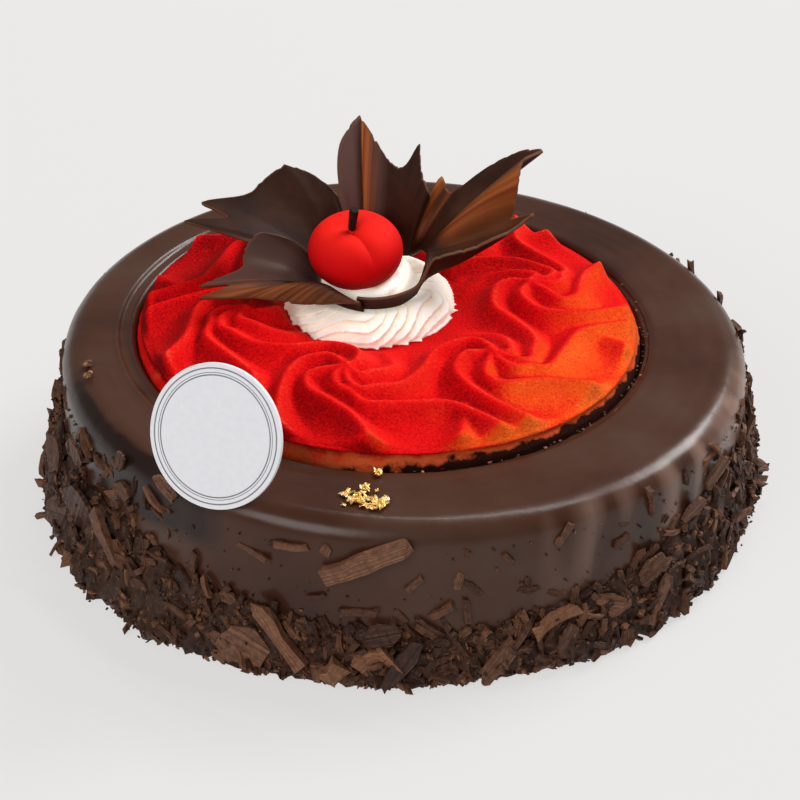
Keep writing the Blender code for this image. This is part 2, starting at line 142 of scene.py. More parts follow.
def buildGlaze():
    g = glaze
    cx, cy = disc["centre"]
    r, h = g["radius"], g["height"]
    lip, start = g["recessRadius"] + g["lipRound"], r - g["topRound"]
    profile = [(0, 0)] + arc(r - g["footRound"], g["footRound"], g["footRound"], -90, 0, 5)
    profile += [(r, z) for z in range(4, 38, 2)]
    profile += arc(start, h - g["topRound"], g["topRound"], 0, 90, 14)
    profile += [(start + (lip - start) * i / 24, h) for i in range(1, 24)]
    profile += arc(lip, h - g["lipRound"], g["lipRound"], 90, 180, 9)
    # the glaze has run into the gap, and stands against the disc's wall
    profile += [(g["recessRadius"] - step, h - g["fill"] - 0.3 * step) for step in (0.0, 0.3, 0.6, 0.9, 1.15)]
    profile += [(disc["footRadius"] + 0.15, h - g["recessDepth"]), (0, h - g["recessDepth"])]
    bm = bmesh.new()
    verts = [bm.verts.new((radius * mm, 0, z * mm)) for radius, z in profile]
    edges = [bm.edges.new(pair) for pair in zip(verts, verts[1:])]
    bmesh.ops.spin(bm, geom=verts + edges, axis=(0, 0, 1), cent=(0, 0, 0), angle=math.tau,
                   steps=g["segments"], use_merge=True)
    bmesh.ops.remove_doubles(bm, verts=bm.verts, dist=0.000001)
    run = bm.verts.layers.float.new("run")
    for vert in bm.verts:
        x, y, z = vert.co / mm
        out = math.hypot(x, y)
        if out > lip - 0.1:
            a = math.atan2(y, x)
            # the glaze ran down the wall in folds and lies on top in faint rings
            right = 0.35 + 0.65 * max(0.0, math.cos(a + math.radians(30))) ** 2
            fold = noise.noise(Vector((9 * math.cos(a), 9 * math.sin(a), z * 0.02)))
            fold += 0.5 * noise.noise(Vector((22 * math.cos(a), 22 * math.sin(a), z * 0.05)))
            low = float(smoothStep(out, start, r)) * min(z / 8, 1)
            vert.co += Vector((math.cos(a), math.sin(a), 0)) * g["wave"] * right * fold * low * mm
            # painted reflection: pale streaks along the folds on the right side of the wall
            vert[run] = (fold * 2.0 + 0.8) * low * float(smoothStep(math.cos(a + math.radians(32)), 0.75, 0.97))
            # painted shade: darker under the edge at the front left
            thick = float(smoothStep(math.cos(a - math.radians(217)), 0.88, 0.99) * smoothStep(z, 26, 34))
            vert[run] -= thick * float(1 - smoothStep(z, h - 1.4, h - 0.2)) * (1 + fold)
            ring = noise.noise(Vector((out * 0.5, 3 * math.cos(a), 3 * math.sin(a))))
            vert.co.z += g["ripple"] * ring * float(smoothStep(z, h - 4, h)) * mm
            # on the left it has sunk in a step round the recess
            left = float(smoothStep(math.cos(a - math.radians(g["stepFrom"])), 0.35, 0.8))
            sunk = 1 - float(smoothStep(out, lip + g["stepWidth"] - 1.6, lip + g["stepWidth"]))
            ridge = math.exp(-((out - lip - g["stepWidth"] - 0.4) / 0.8) ** 2)
            vert.co.z += left * (0.3 * ridge - g["step"] * sunk) * mm
        elif z > h - g["fill"] - 0.5:
            # in the gap it stands higher on the right, and its edge is ragged
            a = math.atan2(y, x)
            lift = g["fillLift"] * max(0.0, math.cos(a + 0.6)) + 0.35 * noise.noise(Vector((40 * a, out, 0)))
            vert.co.z += lift * float(smoothStep(h - z, 0.3, g["fill"])) * mm
        if z > h / 2:
            share = float(smoothStep(out, start, lip))
            vert.co += Vector((cx, cy, 0)) * share * mm
        vert.co = leaned(vert.co)

    # chocolate mirror glaze, poured and set: a broad soft shine, duller where it has dried
    mat, tree, shader = newMaterial("chocolate_glaze", g["colour"], 0.26, ior=1.42, Specular_IOR_Level=0.35)
    at = addNode(tree, "ShaderNodeTexCoord").outputs["Object"]
    cloud = addNode(tree, "ShaderNodeTexNoise", {"Vector": at, "Scale": 26.0, "Detail": 4.0})
    tint = addNode(tree, "ShaderNodeValToRGB", {0: cloud.outputs["Fac"]},
                   steps=((0.3, g["deep"]), (0.52, g["colour"]), (0.72, g["dull"])))
    # painted reflection: paler streaks along the folds on the right of the wall; painted shade: darker under the edge
    # at the front left
    paintedSheenShadeAt = addNode(tree, "ShaderNodeAttribute", attribute_name="run")
    paintedSheenAmount = addNode(tree, "ShaderNodeMapRange", {0: paintedSheenShadeAt.outputs["Fac"], 1: 0.1, 2: 1.5})
    paintedSheenColour = addNode(tree, "ShaderNodeMix", {0: paintedSheenAmount.outputs[0], 6: tint.outputs[0], 7: linear("#82665a")},
                    data_type="RGBA")
    paintedShadeAmount = addNode(tree, "ShaderNodeMapRange", {0: paintedSheenShadeAt.outputs["Fac"], 1: -0.1, 2: -0.9})
    paintedShadeColour = addNode(tree, "ShaderNodeMix", {0: paintedShadeAmount.outputs[0], 6: paintedSheenColour.outputs[2], 7: linear("#23130e")},
                     data_type="RGBA")
    tree.links.new(paintedShadeColour.outputs[2], shader.inputs["Base Color"])
    matt = addNode(tree, "ShaderNodeMapRange", {0: cloud.outputs["Fac"], 1: 0.3, 2: 0.7, 3: 0.2, 4: 0.34})
    tree.links.new(matt.outputs[0], shader.inputs["Roughness"])
    swell = addNode(tree, "ShaderNodeTexNoise", {"Vector": at, "Scale": 90.0, "Detail": 3.0})
    bump = addNode(tree, "ShaderNodeBump", {"Height": swell.outputs["Fac"], "Distance": 0.0006, "Strength": 0.35})
    tree.links.new(bump.outputs[0], shader.inputs["Normal"])
    return addPiece("chocolateGlaze", bm, mat, "chocolate_glaze", "cake_body")


glazeBody = buildGlaze()
print("glaze", len(glazeBody.data.polygons))


# red disc: whirls of crests round a flat middle, in a velvet spray
frontCrests = (
    (((0, -38.2), (-5, -34.5), (-9, -35), (-12.5, -37.5), (-14, -42.5), (-14, -48), (-13, -55),
      (-10.5, -64)), 1.0, 1.0),
    (((0, -38.2), (-3.5, -40.5), (-8, -43.5), (-8.5, -46.5), (-6, -50), (0, -52.5), (7, -56),
      (13.5, -62.5)), 1.0, 1.0),
    (((0, -38.2), (-1.5, -43), (0, -47), (4, -48.5), (9, -50.5), (19, -46), (27.5, -42.5), (34, -43.5),
      (43.5, -46.5)), 1.0, 1.0),
    (((0, -38.2), (2, -44.5), (6, -46.5), (9.5, -44), (14.5, -40), (17, -34.5), (18, -28), (18.5, -21),
      (22, -16.5), (26.5, -14.5), (31, -16), (33.1, -19.1)), 1.0, 1.0),
    (((0, -38.2), (4, -41), (6.5, -38), (9, -34.5), (10, -29.5), (8.5, -26), (6, -22)), 1.0, 0.25),
    (((-14, -43.5), (-19.5, -47.5), (-25.5, -53.5), (-29.5, -57)), 0.35, 0.9),
)
cream = {"centre": (-8.4, 9.3, 49.6), "radius": 21.8, "shelf": 7.0, "teeth": 23, "segments": 540}
gap = 0.3


def turnPoints(points, degrees):
    a = math.radians(degrees)
    return np.array(points, float) @ np.array(((math.cos(a), math.sin(a)), (-math.sin(a), math.cos(a))))


def distanceToLine(x, y, line):
    best = np.full(x.shape, 1e9)
    along = np.zeros(x.shape)
    for i, (a, b) in enumerate(zip(line, line[1:])):
        span = b - a
        t = np.clip(((x - a[0]) * span[0] + (y - a[1]) * span[1]) / (span @ span), 0, 1)
        d = np.hypot(x - a[0] - t * span[0], y - a[1] - t * span[1])
        near = d < best
        best = np.where(near, d, best)
        along = np.where(near, (i + t) / (len(line) - 1), along)
    return best, along


def waveRelief(x, y):
    d = disc
    turns = [d["firstAngle"] + 90 + 360 / d["whirls"] * k for k in range(d["whirls"])]
    knots = [turnPoints((0, -d["ring"]), degrees) for degrees in turns]
    fromKnot = np.min([np.hypot(x - kx, y - ky) for kx, ky in knots], axis=0)
    width = np.minimum(d["width"] + d["widening"] * fromKnot, d["fullWidth"])
    total = np.zeros(x.shape)
    for points, start, end in frontCrests:
        line = curveThrough(points, 3)
        for degrees in turns:
            away, along = distanceToLine(x, y, turnPoints(line, degrees))
            away = np.sqrt(away * away + d["rounding"] ** 2) - d["rounding"]
            total += (np.exp(-(away / width) ** d["power"]) * (start + (end - start) * along ** 1.5)) ** 6
    crest = d["crest"] * total ** (1 / 6) * (1 - d["knotFall"] * np.exp(-(fromKnot / d["knotSpread"]) ** 2))
    dome = sum(d["dome"] * np.exp(-((x - kx) ** 2 + (y - ky) ** 2) / d["domeSpread"] ** 2)
               for kx, ky in knots)
    out = np.hypot(x, y)
    fromMiddle = np.clip((out - d["middle"]) / (d["topRadius"] - d["middle"]), 0, 1)
    height = crest + dome + d["rise"] * (1 - fromMiddle ** 1.5)
    return height * (1 - smoothStep(out, d["topRadius"] - d["rimWidth"], d["topRadius"]))


def discTop(x, y):
    d = disc
    cx, cy = d["centre"]
    height = d["top"] + d["slope"][0] * (x + cx) + d["slope"][1] * (y + cy) + waveRelief(x, y)
    seat = cream["centre"][2] - gap
    fromCream = np.hypot(x + cx - cream["centre"][0], y + cy - cream["centre"][1])
    clear = smoothStep(fromCream, cream["radius"], cream["radius"] + d["seatMargin"])
    return seat + (height - seat) * clear


# moves points of the square -1..1 to the unit disc
def squareToDisc(u, v):
    wide = np.abs(u) >= np.abs(v)
    radius = np.where(wide, u, v)
    with np.errstate(divide="ignore", invalid="ignore"):
        angle = np.where(wide, math.pi / 4 * v / u, math.pi / 2 - math.pi / 4 * u / v)
    angle = np.nan_to_num(angle)
    return radius * np.cos(angle), radius * np.sin(angle)


def buildDisc():
    d = disc
    cells = d["cells"]
    bm = bmesh.new()
    thin = bm.verts.layers.float.new("thin")
    paintedLightShade = bm.verts.layers.float.new("paintedLightShade")
    rubbed = bm.verts.layers.float.new("rubbed")
    bmesh.ops.create_grid(bm, x_segments=cells, y_segments=cells, size=1)
    u, v = np.array([(vert.co.x, vert.co.y) for vert in bm.verts]).T
    x, y = squareToDisc(u, v)
    x, y = x * d["topRadius"], y * d["topRadius"]
    heights = discTop(x, y)
    centre = Vector((*d["centre"], 0))
    for vert, px, py, height in zip(bm.verts, x, y, heights):
        vert.co = (centre + Vector((px, py, height))) * mm
    # crest or groove: the height against the mean height near by
    order = np.lexsort((np.round(u * cells), np.round(v * cells)))
    field = heights[order].reshape(cells + 1, cells + 1)
    spread = np.hanning(2 * round(2.6 / d["topRadius"] * cells / 2) + 3)
    soft = np.pad(field, len(spread) // 2, mode="edge")
    for axis in (0, 1):
        soft = np.apply_along_axis(np.convolve, axis, soft, spread / spread.sum(), mode="valid")
    above = np.empty(len(heights))
    above[order] = (field - soft).ravel()
    bm.normal_update()
    a = math.radians(d["sprayFrom"])
    facing = Vector((math.cos(a), math.sin(a), 0))
    lit = Vector((0.87, 0.3, 0))
    for vert, px, py, rise in zip(bm.verts, x, y, above):
        along = (px * facing.x + py * facing.y) / d["topRadius"]
        # painted light and shade: brighter on crests and on slopes facing the light direction lit, darker in grooves
        # and towards the left
        vert[paintedLightShade] = rise / 0.7 + 1.5 * vert.normal.dot(lit) - 1.0 * float(smoothStep(-along, 0.35, 0.95))
        vert[thin] = along + 0.6 * vert.normal.dot(facing)
    # the wall: a plain bead, a groove under it, then a foot that stands out a little
    steps = 10
    rim = [e for e in bm.edges if e.is_boundary]
    floor = glaze["height"] - glaze["recessDepth"] + gap
    for step in range(1, steps + 1):
        wall = bmesh.ops.extrude_edge_only(bm, edges=rim)["geom"]
        rim = [g for g in wall if isinstance(g, bmesh.types.BMEdge) and g.is_boundary]
        t = step / steps
        for vert in (g for g in wall if isinstance(g, bmesh.types.BMVert)):
            flat = Vector((vert.co.x, vert.co.y, 0)) / mm - centre
            radius = d["topRadius"] + (d["footRadius"] - d["topRadius"]) * min(t * 2, 1)
            radius -= d["groove"] * math.exp(-((t - 0.2) / 0.12) ** 2)
            radius += 0.25 * noise.noise(flat * 0.35 + Vector((0, 0, t * 4))) * math.sin(math.pi * t)
            vert[thin] = 0.95 * flat.normalized().dot(facing) + 0.1 * t
            # painted shade in the groove under the bead
            vert[paintedLightShade] = -1.6 if step in (1, 2) else 0.3
            front, right = (max(0.0, flat.normalized().dot(way)) for way in (Vector((0.2, -1, 0)), facing))
            vert[rubbed] = (0.5 + 0.4 * t) * front ** 0.4 + 1.1 * min(2 * t, 1) * right ** 1.5
            flat *= radius / flat.length
            place = flat + centre
            top = d["top"] + d["slope"][0] * place.x + d["slope"][1] * place.y
            low = floor - glaze["lean"] * place.x
            vert.co = Vector((place.x, place.y, top + (low - top) * t)) * mm
    bmesh.ops.holes_fill(bm, edges=[e for e in bm.edges if e.is_boundary], sides=0)

    # red cocoa-butter velvet, sprayed: a matt grain; painted shade makes it deep red in the grooves and on the left,
    # painted light makes it brighter on the crests and on slopes facing the light; thin and orange where the spray
    # fell short
    mat, tree, shader = newMaterial("red_velvet_spray", "#d60a10", 0.8, Specular_IOR_Level=0.06,
                                    Sheen_Weight=0.03, Sheen_Roughness=0.4)
    shader.inputs["Sheen Tint"].default_value = linear("#ff6a50")
    at = addNode(tree, "ShaderNodeTexCoord").outputs["Object"]
    grain = addNode(tree, "ShaderNodeTexNoise", {"Vector": at, "Scale": 1500.0, "Detail": 3.0, "Roughness": 0.75})
    patch = addNode(tree, "ShaderNodeTexNoise", {"Vector": at, "Scale": 70.0, "Detail": 5.0, "Roughness": 0.65})
    # painted light and shade, read from the mesh with the crest height
    ridge = addNode(tree, "ShaderNodeAttribute", attribute_name="paintedLightShade")
    spray = addNode(tree, "ShaderNodeAttribute", attribute_name="thin")
    mottled = addNode(tree, "ShaderNodeMath", {0: grain.outputs["Fac"], 1: 4.5, 2: ridge.outputs["Fac"]},
                      operation="MULTIPLY_ADD")
    depth = addNode(tree, "ShaderNodeMapRange", {0: mottled.outputs[0], 1: 0.45, 2: 4.05})
    red = addNode(tree, "ShaderNodeValToRGB", {0: depth.outputs[0]},
                  steps=((0.0, "#840004"), (0.25, "#be0207"), (0.5, "#e8070c"), (0.75, "#f41a12"), (1.0, "#fc4430")))
    shifted = addNode(tree, "ShaderNodeMath", {0: patch.outputs["Fac"], 1: 0.5, 2: spray.outputs["Fac"]},
                      operation="MULTIPLY_ADD")
    fade = addNode(tree, "ShaderNodeMapRange", {0: shifted.outputs[0], 1: 0.85, 2: 1.8, 4: 0.9},
                   interpolation_type="SMOOTHSTEP")
    specks = addNode(tree, "ShaderNodeMath", {0: grain.outputs["Fac"], 1: 2.4, 2: -1.2}, operation="MULTIPLY_ADD")
    dusted = addNode(tree, "ShaderNodeMath", {0: specks.outputs[0], 1: fade.outputs[0], 2: fade.outputs[0]},
                     operation="MULTIPLY_ADD", use_clamp=True)
    bare = addNode(tree, "ShaderNodeValToRGB", {0: dusted.outputs[0]},
                   steps=((0.0, "#e8180e"), (0.35, "#f43c12"), (0.7, "#fd5c1a"), (1.0, "#ff7228")))
    share = addNode(tree, "ShaderNodeMapRange", {0: dusted.outputs[0], 1: 0.02, 2: 0.4})
    both = addNode(tree, "ShaderNodeMix", {0: share.outputs[0], 6: red.outputs[0], 7: bare.outputs[0]},
                   data_type="RGBA")
    # on the wall chocolate has rubbed off on it in patches
    rubbed = addNode(tree, "ShaderNodeAttribute", attribute_name="rubbed")
    smear = addNode(tree, "ShaderNodeTexNoise", {"Vector": at, "Scale": 240.0, "Detail": 3.0})
    smeared = addNode(tree, "ShaderNodeMath", {0: smear.outputs["Fac"], 1: 1.3, 2: rubbed.outputs["Fac"]},
                      operation="MULTIPLY_ADD")
    brown = addNode(tree, "ShaderNodeMapRange", {0: smeared.outputs[0], 1: 1.0, 2: 1.5})
    choc = addNode(tree, "ShaderNodeMapRange", {0: smeared.outputs[0], 1: 1.65, 2: 1.85})
    stain = addNode(tree, "ShaderNodeMix", {0: choc.outputs[0], 6: linear("#dc5c30"), 7: linear("#2c130b")},
                    data_type="RGBA")
    final = addNode(tree, "ShaderNodeMix", {0: brown.outputs[0], 6: both.outputs[2], 7: stain.outputs[2]},
                    data_type="RGBA")
    tree.links.new(final.outputs[2], shader.inputs["Base Color"])
    bump = addNode(tree, "ShaderNodeBump", {"Height": grain.outputs["Fac"], "Distance": 0.0008, "Strength": 0.9})
    tree.links.new(bump.outputs[0], shader.inputs["Normal"])
    return addPiece("redVelvetDisc", bm, mat, "red_velvet", "velvet_disc")


velvetDisc = buildDisc()
print("disc", len(velvetDisc.data.polygons))

cherry = {"centre": (-12.0, 9.0, 66.6), "radius": 12.5, "half": 9.3, "tilt": 9, "dimple": 0.34,
          "cleft": 0.1, "cleftAngle": -66, "dimpleLean": -7, "stem": 1.15, "stemLength": 6.4}
cherryPlace = Matrix.Translation(Vector(cherry["centre"])) @ Matrix.Rotation(math.radians(cherry["tilt"]), 4, "X")


# cream: one turn of a star nozzle, drawn into twisted folds, with a seat pressed in by the cherry
def buildCream():
    c = cream
    profile = [(0.0, 0.0), (20.4, 0.0), (21.3, 0.4), (21.7, 1.2), (21.6, 2.2), (21.1, 3.2), (20.4, 4.2), (19.5, 5.1),
               (18.6, 5.8), (17.6, 6.5), (16.8, 7.0), (15.0, 7.1), (13.4, 7.1), (12.4, 7.4), (12.0, 8.4),
               (11.5, 9.6), (10.5, 10.6), (9.0, 11.2), (7.0, 11.4), (5.0, 11.3), (2.5, 11.2), (0.0, 11.2)]
    fine = curveThrough(profile, 3)
    bm = bmesh.new()
    verts = [bm.verts.new((max(r, 0), 0, z)) for r, z in fine]
    edges = [bm.edges.new(pair) for pair in zip(verts, verts[1:])]
    bmesh.ops.spin(bm, geom=verts + edges, axis=(0, 0, 1), cent=(0, 0, 0), angle=math.tau,
                   steps=c["segments"], use_merge=True)
    bmesh.ops.remove_doubles(bm, verts=bm.verts, dist=0.0005)
    cherryCentre = Vector(cherry["centre"]) - Vector(c["centre"])
    crest = bm.verts.layers.float.new("crest")
    for vert in bm.verts:
        r = math.hypot(vert.co.x, vert.co.y)
        z = max(vert.co.z, 0.0)
        a = math.atan2(vert.co.y, vert.co.x)
        if r > 12.6:
            # folds slant down the wall: each rises slowly and drops at once, and ends in a tooth at the foot
            down = 1 - min(z / c["shelf"], 1)
            turned = c["teeth"] * (a / math.tau + 0.13 * down) + 1.6 * noise.noise(Vector((1.7 * a, 0, 0)))
            strong = 0.55 + 0.9 * abs(noise.noise(Vector((math.floor(turned) * 3.7, 1, 0))))
            fold = ((turned % 1) ** 1.8 - 0.35) * strong
            rill = ((3 * turned + 0.3) % 1) ** 2 * 0.2
            lobe = noise.noise(Vector((3 * math.cos(a), 3 * math.sin(a), z * 0.1))) * 0.9
            ragged = noise.noise(Vector((11 * math.cos(a), 11 * math.sin(a), z * 0.5))) * 0.4
            push = (fold * 2.3 + rill) * (0.3 + 0.7 * down) + (lobe + ragged) * down
            # painted shade: how far each point lies from the hollow of its fold, for a darker colour in the hollows
            vert[crest] = (turned % 1) ** 0.7 + ragged * 0.5
            vert.co.x += push * math.cos(a)
            vert.co.y += push * math.sin(a)
        else:
            swirl = (5 * (a / math.tau + 0.05 * r) % 1) * 0.8 * float(smoothStep(r, 2, 6))
            vert[crest] = (5 * (a / math.tau + 0.05 * r) % 1) ** 0.5
            vert.co.z += swirl + noise.noise(Vector((vert.co.x, vert.co.y, 0)) * 0.25) * 0.6 - 0.5
        off = math.hypot(vert.co.x - cherryCentre.x, vert.co.y - cherryCentre.y) / (cherry["radius"] + 0.4)
        if off < 1 and vert.co.z > 3:
            under = cherryCentre.z - (cherry["half"] + 0.4) * math.sqrt(1 - off * off)
            vert.co.z = min(vert.co.z, under)
        vert.co = (vert.co + Vector(c["centre"])) * mm

    # whipped cream, soft and slightly see-through, with a painted glow that brightens it
    mat, tree, shader = newMaterial("whipped_cream", "#fff8ea", 0.5, ior=1.4, Subsurface_Weight=0.4,
                                    Subsurface_Scale=0.002, Emission_Strength=0.2)
    shader.inputs["Emission Color"].default_value = linear("#ffeed6")
    shader.inputs["Subsurface Radius"].default_value = (1.0, 0.7, 0.4)
    at = addNode(tree, "ShaderNodeTexCoord").outputs["Object"]
    # painted shade: tan in the hollows of the folds, near white on their crests
    paintedFoldShadeAt = addNode(tree, "ShaderNodeAttribute", attribute_name="crest")
    tint = addNode(tree, "ShaderNodeValToRGB", {0: paintedFoldShadeAt.outputs["Fac"]},
                   steps=((0.0, "#c9a68f"), (0.16, "#ead2bb"), (0.45, "#fbf0de"), (0.9, "#fffcf4")))
    tree.links.new(tint.outputs[0], shader.inputs["Base Color"])
    grain = addNode(tree, "ShaderNodeTexNoise", {"Vector": at, "Scale": 500.0, "Detail": 3.0})
    bump = addNode(tree, "ShaderNodeBump", {"Height": grain.outputs["Fac"], "Distance": 0.0003, "Strength": 0.3})
    tree.links.new(bump.outputs[0], shader.inputs["Normal"])
    return addPiece("whippedCream", bm, mat, "whipped_cream", "cream_rosette")


creamRosette = buildCream()
print("cream", len(creamRosette.data.polygons))

# flower: direction at the ring and at the tip, reach, height, arch, and the share of the rib that is left
flower = {
    "centre": (-7.5, 9.0, 57.0), "ring": 14.0, "startRing": 15.6, "thickness": 0.9,
    "rows": 26, "between": 6, "torn": 0.05,
    "ribs": (
        (262, 258, 16.5, 3.0, 0.5, 1.00), (250, 244, 19.0, 3.3, 3.5, 1.00), (238, 231, 22.5, 3.2, 6.5, 1.00),
        (228, 222, 26.0, 3.3, 8.5, 1.00), (218, 214, 30.0, 3.8, 8.5, 1.00), (209, 207, 36.0, 4.3, 6.5, 1.00),
        (203, 201, 48.0, 4.8, 4.0, 1.00), (199, 198, 45.0, 5.6, 4.0, 0.82), (195, 196, 48.0, 5.8, 3.8, 0.97),
        (191, 192, 37.5, 8.2, 3.0, 0.92), (186, 187, 36.0, 10.8, 2.5, 0.92), (181, 183, 33.5, 13.2, 2.5, 0.95),
        (176, 179, 30.0, 15.2, 2.5, 0.93), (171, 176, 26.0, 14.5, 2.5, 0.60),
        (166, 173, 50.0, 11.4, 5.0, 0.60), (162, 169, 51.5, 12.5, 5.5, 1.00), (157, 163, 51.0, 13.0, 5.5, 0.76),
        (152, 158, 49.8, 13.2, 5.5, 1.00), (145, 149, 46.5, 14.9, 5.5, 0.84), (138, 140, 43.0, 16.6, 5.2, 0.89),
        (130, 129, 38.5, 19.0, 4.8, 0.98), (122, 122, 35.0, 18.6, 4.4, 0.89), (115, 113, 30.0, 18.6, 4.0, 0.66),
        (109, 124, 20.5, 24.0, 3.0, 0.70), (107, 116, 22.0, 31.0, 3.0, 0.92), (104, 106, 23.0, 35.0, 2.8, 0.97),
        (100, 98, 25.0, 36.2, 0.8, 1.00), (92, 90, 24.5, 35.0, 3.6, 0.88), (83, 81, 24.0, 34.0, 3.6, 0.75),
        (74, 72, 24.0, 33.0, 3.0, 0.69), (69, 66, 24.0, 32.4, 3.0, 0.71), (66, 62, 23.8, 31.4, 3.0, 0.80),
        (63, 58, 23.5, 30.6, 3.0, 1.00), (60, 54, 23.2, 29.0, 3.0, 0.88), (57, 50, 23.0, 27.0, 3.0, 0.82),
        (51, 40, 23.0, 24.0, 3.0, 0.74),
        (45, 53, 29.0, 19.0, 4.0, 0.72), (41, 51, 29.0, 19.0, 4.0, 1.00), (37, 46, 35.0, 20.5, 4.0, 0.70),
        (33, 42, 39.0, 21.5, 4.5, 0.70), (29, 38, 42.0, 23.0, 5.0, 0.86), (25, 34, 44.5, 25.0, 5.0, 0.94),
        (20, 30, 47.5, 26.8, 5.0, 0.98), (16, 26, 50.5, 27.3, 5.5, 1.00), (14, 24, 44.8, 27.2, 5.5, 1.00),
        (12, 22, 42.4, 26.6, 5.5, 1.00), (9, 18, 40.6, 23.4, 5.0, 1.00), (6, 14, 38.9, 19.2, 4.5, 1.00),
        (4, 10, 37.8, 15.3, 3.0, 1.00), (2, 7, 42.6, 17.3, 1.0, 1.00), (-3, 1, 36.5, 15.0, -1.0, 1.00),
        (-8, -4, 31.9, 14.3, -2.0, 1.00), (-14, -10, 26.9, 12.9, -2.0, 1.00), (-21, -18, 22.4, 12.6, -1.5, 1.00),
        (-30, -28, 18.0, 11.5, -0.5, 1.00), (-37, -36, 16.8, 7.5, 0.5, 1.00), (-45, -44, 16.5, 5.2, 1.0, 0.95),
        (-65, -65, 15.4, 4.0, 0.5, 0.95), (-88, -88, 15.0, 3.6, 0.3, 0.95), (-106, -106, 14.6, 3.4, 0.3, 0.95),
    ),
    "corners": (203, 195, 162, 152, 130, 100, 63, 41, 16, 12, 2),
    # painted reflection of the red disc: how orange-brown the chocolate looks, by the direction of the rib
    "paintedRedReflection": ((-4, 0), (3, 0.1), (6, 0.45), (8.5, 0.7), (11, 0.6), (12.5, 0.15), (16, 0), (34, 0), (36, 0.3),
             (38, 0.1), (40.5, 0.7), (44, 0.9), (46.5, 0.15), (50, 0.03), (84, 0), (90, 0.25), (94, 0.85), (99.4, 1),
             (100, 0), (190, 0), (198, 0.15), (205, 0.4), (222, 0.3), (240, 0.15), (262, 0.1)),
    # and how much painted sheen it shows, in greyish brown
    "pale": ((60, 0), (78, 0), (86, 0.55), (92, 0.4), (99.4, 0), (100, 0.3), (104, 1), (109, 1), (111, 0),
             (168, 0), (178, 0.45), (194, 0.45), (199, 0)),
    # how high the foot of the strip lifts off the cream, by its direction
    "lift": ((-60, 0), (-36, 1.2), (-18, 6.5), (0, 8), (25, 6), (45, 2), (70, 0)),
}


def ribPoint(rib, t):
    f = flower
    footAngle, tipAngle, reach, height, arch, share = rib
    t *= share
    loose = max(0.0, (footAngle - 200) / 62)
    footRadius = f["ring"] + (f["startRing"] - f["ring"]) * loose
    middle = 0.5 * (footRadius + reach) - arch * 0.6
    radius = (1 - t) ** 2 * footRadius + 2 * t * (1 - t) * middle + t * t * reach
    lift = float(np.interp(footAngle, *zip(*f["lift"])))
    rise = 2 * t * (1 - t) * (0.5 * height + arch) + t * t * height + lift * (1 - t) ** 2
    angle = math.radians(footAngle + (tipAngle - footAngle) * t ** 0.8)
    return Vector(f["centre"]) + Vector((radius * math.cos(angle), radius * math.sin(angle), rise))


